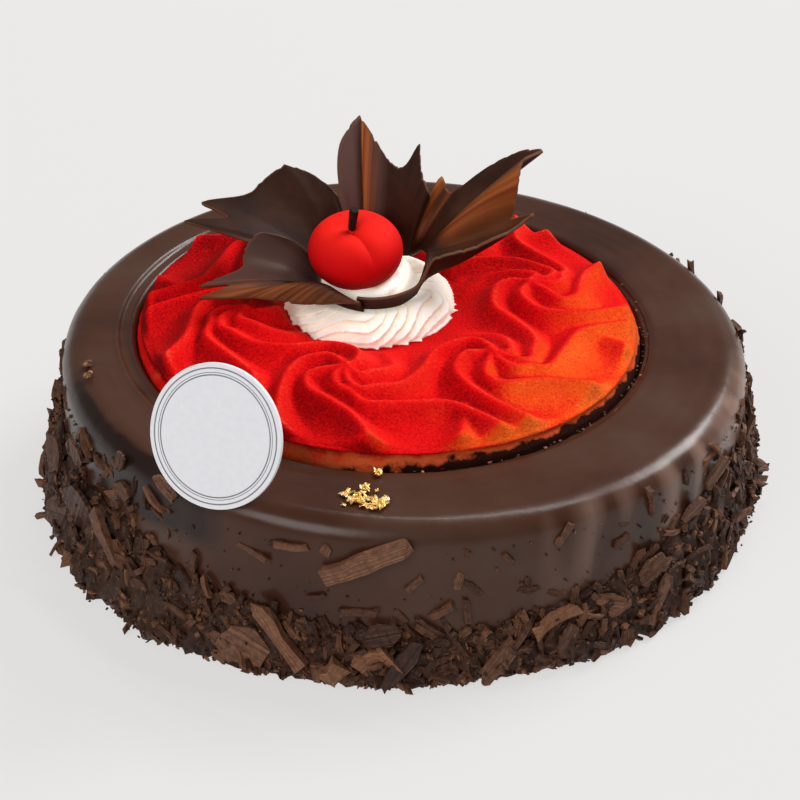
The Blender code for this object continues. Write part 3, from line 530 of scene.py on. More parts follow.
def buildFlower():
    f = flower
    breaks = [0] + [i for i, rib in enumerate(f["ribs"]) if rib[0] in f["corners"]] + [len(f["ribs"]) - 1]
    runs = [curveThrough(f["ribs"][a:b + 1], f["between"]) for a, b in zip(breaks, breaks[1:])]
    ribs = np.vstack([run[:-1] for run in runs] + [runs[-1][-1:]])
    bm = bmesh.new()
    edge = bm.verts.layers.float.new("edge")
    row = bm.verts.layers.float.new("row")
    pale = bm.verts.layers.float.new("pale")
    paintedRedReflection = bm.verts.layers.float.new("paintedRedReflection")
    bmesh.ops.create_grid(bm, x_segments=len(ribs) - 1, y_segments=f["rows"], size=0.5)
    for vert in bm.verts:
        rib = ribs[round((vert.co.x + 0.5) * (len(ribs) - 1))]
        t = vert.co.y + 0.5
        vert[edge] = t
        vert[row] = rib[0] + 4 * t
        # painted reflection of the red disc, faded in along each rib
        under = smoothStep(t, 0.5, 0.75) if rib[0] > 195 else smoothStep(t, 0.1, 0.35)
        vert[paintedRedReflection] = np.interp(rib[0], *zip(*f["paintedRedReflection"])) * under
        vert[pale] = np.interp(rib[0], *zip(*f["pale"]))
        torn = 1 - f["torn"] * max(0.0, noise.noise(Vector((rib[0] * 0.9, 0, 0)))) * smoothStep(t, 0.6, 1)
        vert.co = ribPoint(rib, t * torn) * mm

    # tempered dark chocolate, spread thin and curled: a satin finish, with a painted orange-brown reflection of the
    # red disc, painted sheen and a painted highlight along the edges
    mat, tree, shader = newMaterial("dark_chocolate", "#2c1a13", 0.5, Specular_IOR_Level=0.1)
    at = addNode(tree, "ShaderNodeTexCoord").outputs["Object"]
    edgeAt = addNode(tree, "ShaderNodeAttribute", attribute_name="edge")
    paintedRedReflectionAt = addNode(tree, "ShaderNodeAttribute", attribute_name="paintedRedReflection")
    cloud = addNode(tree, "ShaderNodeTexNoise", {"Vector": at, "Scale": 90.0, "Detail": 4.0})
    body = addNode(tree, "ShaderNodeValToRGB", {0: cloud.outputs["Fac"]},
                   steps=((0.3, "#231008"), (0.52, "#331a10"), (0.75, "#432718")))
    rowAt = addNode(tree, "ShaderNodeAttribute", attribute_name="row")
    paintedSheenAt = addNode(tree, "ShaderNodeAttribute", attribute_name="pale")
    streak = addNode(tree, "ShaderNodeTexNoise", {"W": rowAt.outputs["Fac"], "Scale": 0.3, "Detail": 2.0},
                     noise_dimensions="1D")
    reflectionTint = addNode(tree, "ShaderNodeValToRGB", {0: streak.outputs["Fac"]},
                    steps=((0.35, "#7d3612"), (0.5, "#a3521f"), (0.68, "#bd6f38")))
    lit = addNode(tree, "ShaderNodeMix", {0: paintedRedReflectionAt.outputs["Fac"], 6: body.outputs[0], 7: reflectionTint.outputs[0]},
                  data_type="RGBA")
    # painted sheen: greyish brown where the petals catch the light
    sheenMix = addNode(tree, "ShaderNodeMix", {0: paintedSheenAt.outputs["Fac"], 6: lit.outputs[2], 7: linear("#664c46")},
                    data_type="RGBA")
    # painted highlight: a thin lighter line along the outer edge of the petals
    rim = addNode(tree, "ShaderNodeMapRange", {0: edgeAt.outputs["Fac"], 1: 0.98, 2: 1.0})
    tint = addNode(tree, "ShaderNodeMix", {0: rim.outputs[0], 6: sheenMix.outputs[2], 7: linear("#64412f")},
                   data_type="RGBA")
    tree.links.new(tint.outputs[2], shader.inputs["Base Color"])
    swell = addNode(tree, "ShaderNodeTexNoise", {"Vector": at, "Scale": 120.0, "Detail": 3.0})
    bump = addNode(tree, "ShaderNodeBump", {"Height": swell.outputs["Fac"], "Distance": 0.0006, "Strength": 0.4})
    tree.links.new(bump.outputs[0], shader.inputs["Normal"])
    obj = addPiece("chocolateFlower", bm, mat, "dark_chocolate", "chocolate_flower")
    thick = obj.modifiers.new("thickness", "SOLIDIFY")
    thick.thickness = f["thickness"] * mm
    thick.offset = 0.0
    return obj


chocolateFlower = buildFlower()
print("flower", len(chocolateFlower.data.polygons))


# cherry: moulded, with a dimple and one cleft, in a velvet spray
def buildCherry():
    c = cherry
    bm = bmesh.new()
    bmesh.ops.create_uvsphere(bm, u_segments=160, v_segments=96, radius=1)
    dimpleAxis = Vector((math.sin(math.radians(c["dimpleLean"])), 0, math.cos(math.radians(c["dimpleLean"]))))
    for vert in bm.verts:
        theta = vert.co.angle(dimpleAxis)
        across = vert.co - dimpleAxis * math.cos(theta)
        phi = math.atan2(across.y, across.x)
        dimple = c["dimple"] * math.exp(-(theta / 0.42) ** 1.5)
        bend = math.radians(c["cleftAngle"]) + 0.12 * math.sin(theta * 2)
        fromCleft = abs((phi - bend + math.pi) % math.tau - math.pi)
        sideways = fromCleft * max(math.sin(theta), 0.05)
        fall = 1 - float(smoothStep(theta, 0.7, 1.7))
        cleft = (c["cleft"] * math.exp(-(sideways / 0.05)) + 0.05 * math.exp(-(sideways / 0.2) ** 2)) * fall
        share = 1 - dimple - cleft
        vert.co = Vector((vert.co.x * c["radius"], vert.co.y * c["radius"], vert.co.z * c["half"])) * share
        vert.co = cherryPlace @ vert.co * mm

    # red cocoa-butter velvet over a moulded cherry: finer and more even than on the disc; painted shade makes it
    # deeper in colour lower down and lighter on top
    mat, tree, shader = newMaterial("cherry_velvet", "#d00a0c", 0.75, Specular_IOR_Level=0.1)
    at = addNode(tree, "ShaderNodeTexCoord").outputs["Object"]
    grain = addNode(tree, "ShaderNodeTexNoise", {"Vector": at, "Scale": 3000.0, "Detail": 2.0})
    # painted shade: darker towards the bottom, lighter at the top
    height = addNode(tree, "ShaderNodeSeparateXYZ", {0: at})
    low = (c["centre"][2] - c["half"]) * mm
    upward = addNode(tree, "ShaderNodeMapRange", {0: height.outputs[2], 1: low, 2: low + 2 * c["half"] * mm})
    depth = addNode(tree, "ShaderNodeMath", {0: grain.outputs["Fac"], 1: 0.3, 2: upward.outputs[0]},
                    operation="MULTIPLY_ADD")
    tint = addNode(tree, "ShaderNodeValToRGB", {0: depth.outputs[0]},
                   steps=((0.1, "#7c0004"), (0.45, "#b80308"), (0.75, "#d4080c"), (1.0, "#ea1c12")))
    tree.links.new(tint.outputs[0], shader.inputs["Base Color"])
    bump = addNode(tree, "ShaderNodeBump", {"Height": grain.outputs["Fac"], "Distance": 0.0001, "Strength": 0.2})
    tree.links.new(bump.outputs[0], shader.inputs["Normal"])
    return addPiece("velvetCherry", bm, mat, "cherry_velvet", "cherry")


velvetCherry = buildCherry()


def buildStem():
    c = cherry
    lean = math.radians(c["dimpleLean"])
    bottom = Vector((math.sin(lean) * c["radius"], 0, math.cos(lean) * c["half"])) * (1 - c["dimple"])
    foot = cherryPlace @ (bottom + Vector((0, 0, gap)))
    lean = Matrix.Rotation(math.radians(6), 4, "X") @ Matrix.Rotation(math.radians(7), 4, "Y")
    bm = bmesh.new()
    bmesh.ops.create_cone(bm, cap_ends=True, segments=20, radius1=c["stem"] * 0.85, radius2=c["stem"] * 1.1,
                          depth=c["stemLength"])
    caps = [e for e in bm.edges if abs(e.verts[0].co.z - e.verts[1].co.z) < 0.1]
    bmesh.ops.bevel(bm, geom=caps, offset=0.25, offset_type="OFFSET", segments=2, profile=0.5,
                    affect="EDGES", material=-1)
    place = Matrix.Scale(mm, 4) @ Matrix.Translation(foot) @ lean @ Matrix.Translation((0, 0, c["stemLength"] / 2 + gap))
    bmesh.ops.transform(bm, matrix=place, verts=bm.verts)
    # a dark chocolate stick, drawn out by hand, with a fine grain
    mat, tree, shader = newMaterial("stem_chocolate", "#150b08", 0.6, Specular_IOR_Level=0.15)
    at = addNode(tree, "ShaderNodeTexCoord").outputs["Object"]
    grain = addNode(tree, "ShaderNodeTexNoise", {"Vector": at, "Scale": 900.0, "Detail": 3.0})
    tint = addNode(tree, "ShaderNodeValToRGB", {0: grain.outputs["Fac"]}, steps=((0.35, "#120907"), (0.7, "#26150f")))
    tree.links.new(tint.outputs[0], shader.inputs["Base Color"])
    bump = addNode(tree, "ShaderNodeBump", {"Height": grain.outputs["Fac"], "Distance": 0.0003, "Strength": 0.5})
    tree.links.new(bump.outputs[0], shader.inputs["Normal"])
    return addPiece("cherryStem", bm, mat, "dark_chocolate", "cherry_stem", flat=True)


cherryStem = buildStem()

# plaque: a thin round card that leans back against the glaze
plaque = {"radius": 18.1, "thickness": 1.2, "angle": 243, "lean": 22, "reach": 18.5, "sidestep": 9.1,
          "rings": (15.1, 15.7, 16.8), "ringWidths": (0.32, 0.18, 0.34)}


def plaqueFrame():
    p, g = plaque, glaze
    a, lean = math.radians(p["angle"]), math.radians(p["lean"])
    out = Vector((math.cos(a), math.sin(a), 0))
    normal = out * math.cos(lean) + Vector((0, 0, math.sin(lean)))
    upward = Vector((0, 0, math.cos(lean))) - out * math.sin(lean)
    edge = out * (g["radius"] - g["topRound"]) + Vector((0, 0, g["height"] - g["topRound"]))
    touch = leaned(edge * mm) / mm + normal * (g["topRound"] + gap)
    centre = touch + upward * p["reach"] + out.cross(Vector((0, 0, 1))) * p["sidestep"]
    return centre + normal * p["thickness"] / 2, normal


def buildPlaque():
    p = plaque
    centre, normal = plaqueFrame()
    bm = bmesh.new()
    bmesh.ops.create_cone(bm, cap_ends=True, segments=144, radius1=p["radius"], radius2=p["radius"],
                          depth=p["thickness"])
    rims = [e for e in bm.edges if abs(e.verts[0].co.z - e.verts[1].co.z) < 0.1]
    bmesh.ops.bevel(bm, geom=rims, offset=0.25, offset_type="OFFSET", segments=3, profile=0.5,
                    affect="EDGES", material=-1)
    place = Matrix.Scale(mm, 4) @ Matrix.Translation(centre) @ normal.to_track_quat("Z", "Y").to_matrix().to_4x4()
    bmesh.ops.transform(bm, matrix=place, verts=bm.verts)
    # coated white card, printed with two plain grey rings
    mat, tree, shader = newMaterial("white_card", "#e6e5ea", 0.4, Specular_IOR_Level=0.35)
    at = addNode(tree, "ShaderNodeTexCoord").outputs["Object"]
    away = addNode(tree, "ShaderNodeVectorMath", {0: at, 1: centre * mm}, operation="DISTANCE")
    lines = 0.0
    for ring, width in zip(p["rings"], p["ringWidths"]):
        line = addNode(tree, "ShaderNodeMath",
                       {0: away.outputs["Value"], 1: math.hypot(ring, p["thickness"] / 2) * mm, 2: width / 2 * mm},
                       operation="COMPARE")
        lines = addNode(tree, "ShaderNodeMath", {0: line.outputs[0], 1: lines}, operation="MAXIMUM").outputs[0]
    fibre = addNode(tree, "ShaderNodeTexNoise", {"Vector": at, "Scale": 600.0, "Detail": 3.0})
    card = addNode(tree, "ShaderNodeValToRGB", {0: fibre.outputs["Fac"]},
                   steps=((0.3, "#e8e7ec"), (0.7, "#edecf0")))
    ink = addNode(tree, "ShaderNodeMix", {0: lines, 6: card.outputs[0], 7: linear("#75767c")}, data_type="RGBA")
    tree.links.new(ink.outputs[2], shader.inputs["Base Color"])
    return addPiece("roundPlaque", bm, mat, "white_card", "plaque", flat=True)


roundPlaque = buildPlaque()
print("cherry and plaque")

# shavings: flakes, sticks and crumbs pressed against the glaze over a rough core
shavings = {
    "reach": ((0, 97.5), (25, 97), (60, 96), (95, 97), (130, 96), (165, 97), (194, 97.5), (206, 98),
              (213, 101), (219, 97.6), (229, 100), (234, 97.5), (246, 95), (259, 93.5), (267, 95),
              (274, 93), (289, 93), (302, 96), (320, 95.5), (339, 95), (360, 97.5)),
    # degrees round the cake and how high the shavings lie thick there
    "thick": ((0, 31), (40, 27), (90, 23), (140, 27), (180, 30), (205, 29), (222, 25), (238, 20), (255, 16),
              (285, 16), (300, 19), (315, 24), (335, 30), (360, 31)),
    "top": 38.0, "flakes": 1150, "sticks": 1150, "crumbs": 6000,
}
rng = random.Random(11)


def depthAt(degrees):
    angles, reaches = zip(*shavings["reach"])
    return float(np.interp(degrees % 360, angles, reaches)) - glaze["radius"]


def thickAt(degrees):
    angles, heights = zip(*shavings["thick"])
    return float(np.interp(degrees % 360, angles, heights))


# a flat flake: a ragged plate with ridges along it where the blade ran; sizes are shares of 1
def flakeTemplate(name, corners, ridges, bend, seed):
    pick = random.Random(seed)
    bm = bmesh.new()
    bmesh.ops.create_circle(bm, cap_ends=True, segments=corners, radius=0.5)
    for vert in bm.verts:
        vert.co.x = max(-0.5, min(0.5, vert.co.x * pick.uniform(0.85, 1.35)))
        vert.co.y = max(-0.5, min(0.5, vert.co.y * pick.uniform(0.85, 1.35)))
    slant = pick.uniform(-0.25, 0.25)
    for i in range(ridges):
        y = -0.5 + (i + pick.uniform(0.7, 1.3)) / (ridges + 1)
        bmesh.ops.bisect_plane(bm, geom=bm.verts[:] + bm.edges[:] + bm.faces[:], dist=0.0001,
                               plane_co=(0, y, 0), plane_no=(slant, 1, 0))
    across = bm.verts.layers.float.new("across")
    for vert in bm.verts:
        vert[across] = vert.co.y + slant * vert.co.x
        vert.co.z = bend * vert.co.x ** 2 + pick.uniform(-0.22, 0.22)
        vert.co.x += pick.uniform(-0.05, 0.05)
    bmesh.ops.solidify(bm, geom=bm.faces[:], thickness=0.7)
    bmesh.ops.recalc_face_normals(bm, faces=bm.faces)
    mesh = bpy.data.meshes.new(name)
    bm.to_mesh(mesh)
    bm.free()
    mesh.attributes.new("shade", "FLOAT", "POINT")
    return mesh


# a stick: a square rod, bent, with broken ends
def stickTemplate(name, cuts, rough, bend, seed):
    pick = random.Random(seed)
    bm = bmesh.new()
    bmesh.ops.create_cube(bm, size=1)
    long = [e for e in bm.edges if abs(e.verts[0].co.x - e.verts[1].co.x) > 0.5]
    bmesh.ops.subdivide_edges(bm, edges=long, cuts=cuts, use_grid_fill=True)
    across = bm.verts.layers.float.new("across")
    for vert in bm.verts:
        vert[across] = vert.co.y
        end = 3 if abs(vert.co.x) > 0.45 else 1
        vert.co.x += pick.uniform(-rough, rough) * 0.3 * end
        vert.co.y += pick.uniform(-rough, rough)
        vert.co.z += bend * (0.25 - vert.co.x ** 2) * 4 + pick.uniform(-rough, rough)
    mesh = bpy.data.meshes.new(name)
    bm.to_mesh(mesh)
    bm.free()
    mesh.attributes.new("shade", "FLOAT", "POINT")
    return mesh


def crumbTemplate(name, rough, seed):
    pick = random.Random(seed)
    bm = bmesh.new()
    bmesh.ops.create_icosphere(bm, subdivisions=1, radius=0.5)
    across = bm.verts.layers.float.new("across")
    for vert in bm.verts:
        vert[across] = vert.co.y
        vert.co *= 1 + pick.uniform(-rough, rough)
    mesh = bpy.data.meshes.new(name)
    bm.to_mesh(mesh)
    bm.free()
    mesh.attributes.new("shade", "FLOAT", "POINT")
    return mesh


# adds a copy of a template at a place on the band: turned in the wall's plane, then tipped away from it
def dropShaving(bm, template, degrees, z, off, size, spin, tip, yaw, shade):
    a = math.radians(degrees)
    out = Vector((math.cos(a), math.sin(a), 0))
    side = Vector((-math.sin(a), math.cos(a), 0))
    wall = Matrix((side, Vector((0, 0, 1)), out)).transposed().to_4x4()
    turn = Matrix.Rotation(tip, 4, "X") @ Matrix.Rotation(yaw, 4, "Y") @ Matrix.Rotation(spin, 4, "Z")
    turned = wall @ turn @ Matrix.Diagonal((*size, 1))
    lowest = min((turned @ v.co).z for v in template.vertices)
    place = out * (glaze["radius"] + off) + Vector((glaze["lean"] * z, 0, max(z, 0.05 - lowest)))
    piece = template.copy()
    piece.transform(Matrix.Scale(mm, 4) @ Matrix.Translation(place) @ turned)
    piece.attributes["shade"].data.foreach_set("value", [shade] * len(piece.vertices))
    bm.from_mesh(piece)
    bpy.data.meshes.remove(piece)


# broken chocolate: streaks along each shaving where the blade ran, paler on the raised streaks
def chocolateOf(name, dark, middle, light, streaks):
    mat, tree, shader = newMaterial(name, dark, 0.5, Specular_IOR_Level=0.22)
    at = addNode(tree, "ShaderNodeTexCoord").outputs["Object"]
    across = addNode(tree, "ShaderNodeAttribute", attribute_name="across")
    shade = addNode(tree, "ShaderNodeAttribute", attribute_name="shade")
    row = addNode(tree, "ShaderNodeMath", {0: shade.outputs["Fac"], 1: 37.0, 2: across.outputs["Fac"]},
                  operation="MULTIPLY_ADD")
    streak = addNode(tree, "ShaderNodeTexNoise", {"W": row.outputs[0], "Scale": streaks, "Detail": 2.0},
                     noise_dimensions="1D")
    grain = addNode(tree, "ShaderNodeTexNoise", {"Vector": at, "Scale": 700.0, "Detail": 3.0})
    both = addNode(tree, "ShaderNodeMath", {0: streak.outputs["Fac"], 1: grain.outputs["Fac"]},
                   operation="MULTIPLY")
    share = addNode(tree, "ShaderNodeMath", {0: both.outputs[0], 1: 1.4, 2: shade.outputs["Fac"]},
                    operation="MULTIPLY_ADD", use_clamp=True)
    tint = addNode(tree, "ShaderNodeValToRGB", {0: share.outputs[0]},
                   steps=((0.2, dark), (0.55, middle), (0.95, light)))
    tree.links.new(tint.outputs[0], shader.inputs["Base Color"])
    bump = addNode(tree, "ShaderNodeBump", {"Height": both.outputs[0], "Distance": 0.0012, "Strength": 0.8})
    tree.links.new(bump.outputs[0], shader.inputs["Normal"])
    return mat


def buildShavings():
    s = shavings
    few = 1.0
    flakeShapes = [flakeTemplate("flake%d" % i, 6 + i % 3, 3 + i % 3, rng.uniform(-1.0, 1.0), 40 + i)
                   for i in range(8)]
    stickShapes = [stickTemplate("stick%d" % i, 3, 0.14, rng.uniform(-0.8, 0.8), 60 + i) for i in range(6)]
    crumbShapes = [crumbTemplate("crumb%d" % i, 0.35, 80 + i) for i in range(6)]
    flakes, sticks, crumbs = bmesh.new(), bmesh.new(), bmesh.new()

    # thick near the foot, thinning out up the wall; high ones lie flat on the glaze
    def somewhere(scatter):
        degrees = rng.uniform(0, 360)
        thick = thickAt(degrees)
        z = rng.uniform(0, thick) if rng.random() > scatter else min(rng.expovariate(1 / (thick * 0.62)), s["top"])
        share = z / (thick * 1.15)
        off = 0.3 + rng.uniform(0.0, 0.85) * depthAt(degrees) * max(0.0, 1 - share ** 1.6)
        flat = max(0.15, 1 - share)
        return degrees, z, off, flat

    for i in range(int(s["flakes"] * few)):
        degrees, z, off, flat = somewhere(0.3)
        big = rng.uniform(0.7, 1.0) if flat > 0.3 else rng.uniform(0.4, 0.8)
        size = (rng.uniform(4, 9.5) * big, rng.uniform(2.2, 5) * big, rng.uniform(0.8, 1.4))
        dropShaving(flakes, rng.choice(flakeShapes), degrees, z, off, size, rng.uniform(0, math.tau),
                    rng.gauss(0, 0.6) * flat, rng.gauss(0, 0.5) * flat, rng.choice((-0.1, 0.0, 0.1, 0.2, 0.3)))
    for i in range(int(s["sticks"] * few)):
        degrees, z, off, flat = somewhere(0.35)
        size = (rng.uniform(3, 9), rng.uniform(0.8, 1.9), rng.uniform(0.8, 1.6))
        dropShaving(sticks, rng.choice(stickShapes), degrees, z, off, size, rng.uniform(0, math.tau),
                    rng.gauss(0, 0.5) * flat, rng.gauss(0, 0.5) * flat, rng.choice((-0.1, 0.0, 0.15, 0.3)))
    for i in range(int(s["crumbs"] * few)):
        degrees, z, off, flat = somewhere(0.4)
        big = rng.choice((0.5, 0.7, 0.9, 1.2)) if flat > 0.3 else rng.choice((0.25, 0.4, 0.6))
        size = [rng.uniform(0.5, 2.0) * big for axis in range(3)]
        dropShaving(crumbs, rng.choice(crumbShapes), degrees, z, off, size, rng.uniform(0, math.tau),
                    rng.uniform(-1, 1), 0.0, rng.choice((-0.1, 0.0, 0.2, 0.4)))

    # the ones that catch the eye at the front: shape, direction, height, off the wall, size, spin, tip, yaw, shade
    flakeRows = (
        (0, 245.3, 6.5, 4.0, (14, 13, 1.2), -0.5, -0.15, 0.1, 0.25), (1, 266.9, 16.3, 3.2, (8.5, 6, 1.0), 0.1, -0.7, 0.0, -0.05),
        (2, 285.3, 6.0, 3.0, (15, 6.5, 1.2), 0.75, -0.1, 0.15, 0.25), (3, 296.4, 7.5, 3.5, (11, 6, 1.2), 1.2, 0.1, 0.1, 0.1),
        (4, 270.0, 6.5, 4.5, (17, 5, 1.2), 1.0, -0.05, 0.1, -0.1), (5, 218.0, 14.0, 4.0, (13, 9, 1.2), 0.6, -0.3, 0.1, 0.1),
        (6, 232.0, 9.0, 4.0, (12, 8, 1.2), 1.3, -0.2, 0.2, 0.1),
        (0, 229.4, 43.5, 1.2, (8, 4.5, 1.4), -0.9, 0.2, 0.0, 0.25), (2, 218.2, 43.0, 0.9, (6.5, 3.5, 1.2), 1.2, 0, 0, 0.1),
        (4, 218.7, 34.5, 1.2, (7, 5, 1.6), 0.2, 0.1, 0.0, 0.15), (1, 207.5, 21.0, 4.5, (12, 12, 1.6), 0.9, 0.1, 0.2, -0.05),
        (3, 200.0, 12.0, 6.0, (13, 9, 1.6), 0.4, -0.3, 0.1, 0.0), (5, 204.0, 33.0, 2.5, (12, 7, 1.4), 1.1, 0.3, 0.2, 0.1),
        (6, 196.0, 26.0, 5.0, (11, 8, 1.5), 1.9, -0.2, 0.3, 0.05), (7, 323.0, 27.0, 2.0, (9, 6, 1.3), 0.7, 0.2, -0.2, 0.25),
        (2, 330.0, 33.0, 2.0, (11, 6, 1.3), 1.0, 0.2, -0.3, 0.3), (0, 312.5, 19.0, 3.0, (10, 6, 1.3), 0.5, 0.0, -0.2, 0.2),
    )
    stickRows = (
        (0, 250.9, 12.8, 3.5, (19, 4, 2.0), -0.95, 0.0, 0.0, 0.3), (1, 263.7, 36.2, 0.9, (21, 5, 1.6), 0.45, 0.0, 0.0, 0.25),
        (2, 294.2, 14.7, 3.0, (12, 3, 1.8), 0.4, 0.0, 0.0, 0.35), (3, 314.0, 8.0, 3.5, (13, 3, 1.6), 1.0, 0.0, 0.1, 0.3),
        (5, 218.0, 19.5, 4.0, (17, 3.4, 2.0), -1.0, 0.1, 0.1, 0.15), (2, 210.0, 8.0, 6.0, (14, 4, 2.4), 0.5, 0.0, 0.2, 0.2),
        (4, 266.3, 8.2, 3.5, (9, 7, 3.0), 0.5, 0.2, 0.0, 0.4), (0, 259.6, 4.5, 4.0, (6, 5, 3.0), 0.9, 0.0, 0.2, 0.35),
    )
    for pick, degrees, z, off, size, spin, tip, yaw, shade in flakeRows:
        dropShaving(flakes, flakeShapes[pick], degrees, z, off, size, spin, tip, yaw, shade)
    for pick, degrees, z, off, size, spin, tip, yaw, shade in stickRows:
        dropShaving(sticks, stickShapes[pick], degrees, z, off, size, spin, tip, yaw, shade)

    # the rough core that the shavings stand out from
    core = bmesh.new()
    loops = []
    for i in range(480):
        degrees = i * 0.75
        a = math.radians(degrees)
        depth, top = depthAt(degrees), thickAt(degrees)
        section = [(0.2, 0.0), (depth * 0.6, 0.0), (depth * 0.66, top * 0.2), (depth * 0.58, top * 0.4),
                   (depth * 0.42, top * 0.6), (depth * 0.22, top * 0.8), (0.3, top * 0.95), (-0.6, top * 0.9),
                   (-0.6, 0.0)]
        loop = []
        for off, z in section:
            if off > 0.2:
                off *= 1 + 0.8 * noise.noise(Vector((60 * math.cos(a), 60 * math.sin(a), z * 0.8)))
            if z > 0:
                z *= 1 + 0.25 * noise.noise(Vector((25 * math.cos(a), 25 * math.sin(a), 5)))
            r = glaze["radius"] + off
            loop.append(core.verts.new(Vector((r * math.cos(a) + glaze["lean"] * z, r * math.sin(a), z)) * mm))
        loops.append(loop)
    rings = [[core.edges.new((a, b)) for a, b in zip(loop, loop[1:] + loop[:1])] for loop in loops]
    for one, other in zip(rings, rings[1:] + rings[:1]):
        bmesh.ops.bridge_loops(core, edges=one + other)
    bark = chocolateOf("packed_chocolate_crumb", "#28170f", "#472b1e", "#6c4631", 3.0)
    addPiece("shavingCore", core, bark, "chocolate_shavings", "shaving_band")
    addPiece("flakeShavings", flakes, chocolateOf("flaked_chocolate", "#35201a", "#60402f", "#8e6045", 12.0),
             "chocolate_shavings", flat=True)
    addPiece("stickShavings", sticks, chocolateOf("cut_chocolate_sticks", "#39231a", "#6a4532", "#98694a", 9.0),
             "chocolate_shavings", flat=True)
    addPiece("crumbShavings", crumbs, chocolateOf("chocolate_crumb", "#2e1b14", "#5a3a28", "#946244", 3.0),
             "chocolate_shavings", flat=True)
    for mesh in flakeShapes + stickShapes + crumbShapes:
        bpy.data.meshes.remove(mesh)


buildShavings()
print("shavings")

# gold leaf and crumbs on the ring
leaf = {
    # place, size and how much it is crumpled up
    "places": ((-13.4, -75.7, 46.2, 3.0, 0.5), (-8.9, -73.2, 46.2, 2.6, 0.7), (-6.0, -74.1, 46.2, 1.0, 0.5),
               (-13.9, -80.4, 46.0, 1.1, 0.5), (-11.9, -78.3, 46.2, 3.2, 0.8), (-10.2, -78.9, 46.3, 3.0, 0.9),
               (-9.9, -76.0, 46.3, 2.4, 0.8), (-8.7, -80.6, 46.1, 2.4, 0.9), (-8.3, -78.2, 46.4, 2.2, 1.0),
               (-6.6, -81.2, 46.0, 2.6, 0.8), (-6.2, -78.8, 46.3, 2.4, 0.7), (-4.5, -80.0, 46.3, 3.6, 0.6),
               (-3.8, -76.6, 46.2, 0.9, 0.6), (-5.8, -66.3, 46.3, 3.0, 0.6), (7.5, 2.4, 56.2, 0.9, 0.6)),
    "crumbs": ((-81.2, -18.6, 46.6, 3.0), (-80.6, -24.4, 46.6, 2.3), (-79.9, -22.6, 46.6, 1.3)),
    "edge": 60,
}


def buildLeaf():
    bm = bmesh.new()
    pick = random.Random(5)
    for x, y, z, size, crumple in leaf["places"]:
        made = bmesh.ops.create_grid(bm, x_segments=7, y_segments=7, size=0.5)["verts"]
        spin = pick.uniform(0, math.tau)
        for vert in made:
            rough = noise.noise(Vector((vert.co.x * 2.6 + x, vert.co.y * 2.6 + y, 0)))
            reach = 1 + 0.9 * noise.noise(Vector((vert.co.x * 2.5, vert.co.y * 2.5, x + y)))
            flat = Matrix.Rotation(spin, 3, "Z") @ Vector((vert.co.x * reach, vert.co.y * reach * 0.75, 0))
            lift = z - glaze["lean"] * x + abs(rough) * crumple * size * 0.7
            vert.co = (Vector((x, y, lift)) + flat * size) * mm
    bmesh.ops.solidify(bm, geom=bm.faces[:], thickness=0.00006)
    # beaten gold leaf, laid on by hand: creased, so it glints in some places and looks pale in others
    mat, tree, shader = newMaterial("gold_leaf", "#efc676", 0.42, Metallic=1.0)
    at = addNode(tree, "ShaderNodeTexCoord").outputs["Object"]
    crease = addNode(tree, "ShaderNodeTexNoise", {"Vector": at, "Scale": 500.0, "Detail": 3.0})
    tint = addNode(tree, "ShaderNodeValToRGB", {0: crease.outputs["Fac"]},
                   steps=((0.3, "#dba33c"), (0.5, "#efc676"), (0.68, "#ffeac0")))
    tree.links.new(tint.outputs[0], shader.inputs["Base Color"])
    matt = addNode(tree, "ShaderNodeMapRange", {0: crease.outputs["Fac"], 1: 0.3, 2: 0.7, 3: 0.3, 4: 0.6})
    tree.links.new(matt.outputs[0], shader.inputs["Roughness"])
    bump = addNode(tree, "ShaderNodeBump", {"Height": crease.outputs["Fac"], "Distance": 0.0003, "Strength": 0.5})
    tree.links.new(bump.outputs[0], shader.inputs["Normal"])
    addPiece("goldLeaf", bm, mat, "chocolate_glaze", flat=True)


def buildCrumbs():
    bm = bmesh.new()
    pick = random.Random(6)
    places = [(x, y, z - glaze["lean"] * x, size) for x, y, z, size in leaf["crumbs"]]
    # small ones along the edge of the recess at the front right
    for i in range(leaf["edge"]):
        a = math.radians(pick.uniform(-100, 25))
        r = pick.uniform(66.4, 68.4)
        x, y = disc["centre"][0] + r * math.cos(a), disc["centre"][1] + r * math.sin(a)
        low = glaze["height"] - glaze["lean"] * x - 0.5 * (68.4 - r)
        places.append((x, y, low, pick.uniform(0.3, 0.9)))
    for x, y, z, size in places:
        made = bmesh.ops.create_icosphere(bm, subdivisions=2 if size > 1.2 else 1, radius=size / 2)["verts"]
        for vert in made:
            vert.co *= 1 + 0.45 * noise.noise(vert.co * 1.4 + Vector((x, y, 0)))
            vert.co.z = max(vert.co.z * 0.6, -0.4)
            vert.co = (vert.co + Vector((x, y, z))) * mm
    # broken chocolate: dark, with tan faces where it is chipped
    mat, tree, shader = newMaterial("crumb_chocolate", "#4a2f20", 0.6, Specular_IOR_Level=0.2)
    at = addNode(tree, "ShaderNodeTexCoord").outputs["Object"]
    chip = addNode(tree, "ShaderNodeTexNoise", {"Vector": at, "Scale": 650.0, "Detail": 3.0})
    tint = addNode(tree, "ShaderNodeValToRGB", {0: chip.outputs["Fac"]},
                   steps=((0.35, "#24140d"), (0.52, "#5b3a24"), (0.68, "#a9794c")))
    tree.links.new(tint.outputs[0], shader.inputs["Base Color"])
    bump = addNode(tree, "ShaderNodeBump", {"Height": chip.outputs["Fac"], "Distance": 0.0005, "Strength": 0.6})
    tree.links.new(bump.outputs[0], shader.inputs["Normal"])
    addPiece("ringCrumbs", bm, mat, "chocolate_shavings", flat=True)


buildLeaf()
buildCrumbs()
print("leaf and crumbs")


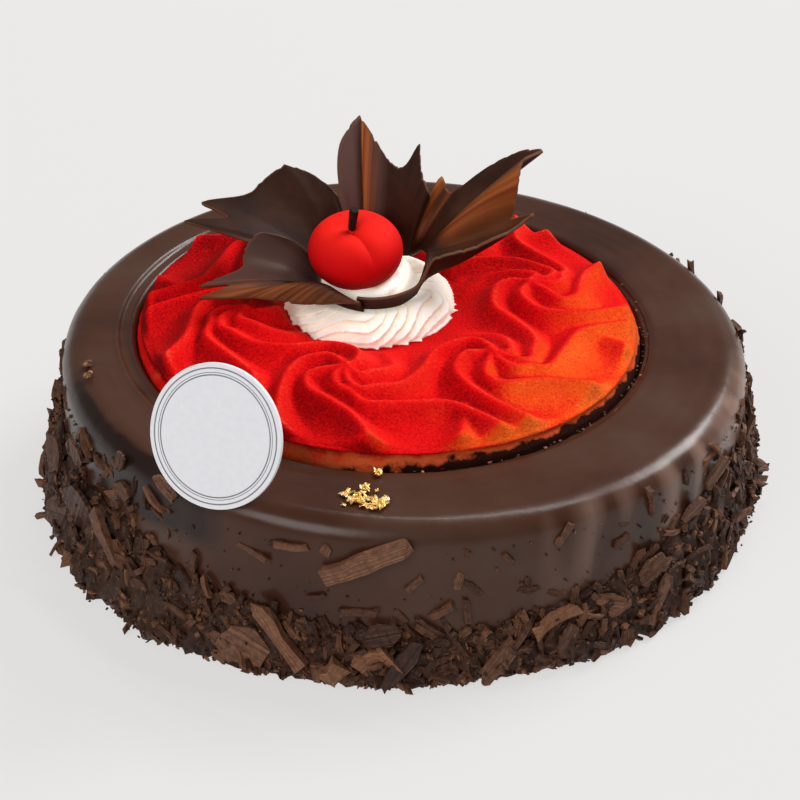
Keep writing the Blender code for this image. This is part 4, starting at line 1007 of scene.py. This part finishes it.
# studio: pale floor, one large soft light behind at the right, one overhead, a weak one at the left
def buildStudio():
    bm = bmesh.new()
    bmesh.ops.create_grid(bm, x_segments=1, y_segments=1, size=4)
    mesh = bpy.data.meshes.new("floor")
    bm.to_mesh(mesh)
    bm.free()
    floor = bpy.data.objects.new("floor", mesh)
    bpy.context.scene.collection.objects.link(floor)
    mat, tree, shader = newMaterial("pale_floor", "#6e6d6c", 0.8, Specular_IOR_Level=0.0, Emission_Strength=0.63)
    shader.inputs["Emission Color"].default_value = linear("#fffefc")
    mesh.materials.append(mat)
    floor.location.z = -0.0003

    world = bpy.data.worlds.new("studio")
    bpy.context.scene.world = world
    world.use_nodes = True
    world.node_tree.nodes["Background"].inputs["Color"].default_value = linear("#f4f3f1")
    world.node_tree.nodes["Background"].inputs["Strength"].default_value = 0.28

    for name, azimuth, elevation, distance, width, height, power in (
            ("backRight", 38, 42, 2.6, 1.3, 0.7, 54), ("overhead", 50, 67, 2.6, 1.7, 0.14, 20),
            ("frontLeft", 235, 35, 2.6, 1.6, 1.2, 32)):
        a, e = math.radians(azimuth), math.radians(elevation)
        place = Vector((math.cos(a) * math.cos(e), math.sin(a) * math.cos(e), math.sin(e))) * distance
        lamp = bpy.data.lights.new(name, "AREA")
        lamp.shape = "RECTANGLE"
        lamp.size, lamp.size_y, lamp.energy = width, height, power
        obj = bpy.data.objects.new(name, lamp)
        obj.location = place
        obj.rotation_euler = (place - Vector((0, 0, 0.04))).to_track_quat("Z", "Y").to_euler()
        bpy.context.scene.collection.objects.link(obj)


buildStudio()

bpy.context.scene.view_settings.view_transform = "Standard"
camera = bpy.data.cameras.new("camera")
camera.lens = 152.0
camera.sensor_width = 36
cameraObject = bpy.data.objects.new("camera", camera)
cameraObject.location = Vector((-0.33, -760.7, 506.5)) * mm
target = Vector((-0.33, 0, 25.59)) * mm
cameraObject.rotation_euler = (cameraObject.location - target).to_track_quat("Z", "Y").to_euler()
bpy.context.scene.collection.objects.link(cameraObject)
bpy.context.scene.camera = cameraObject
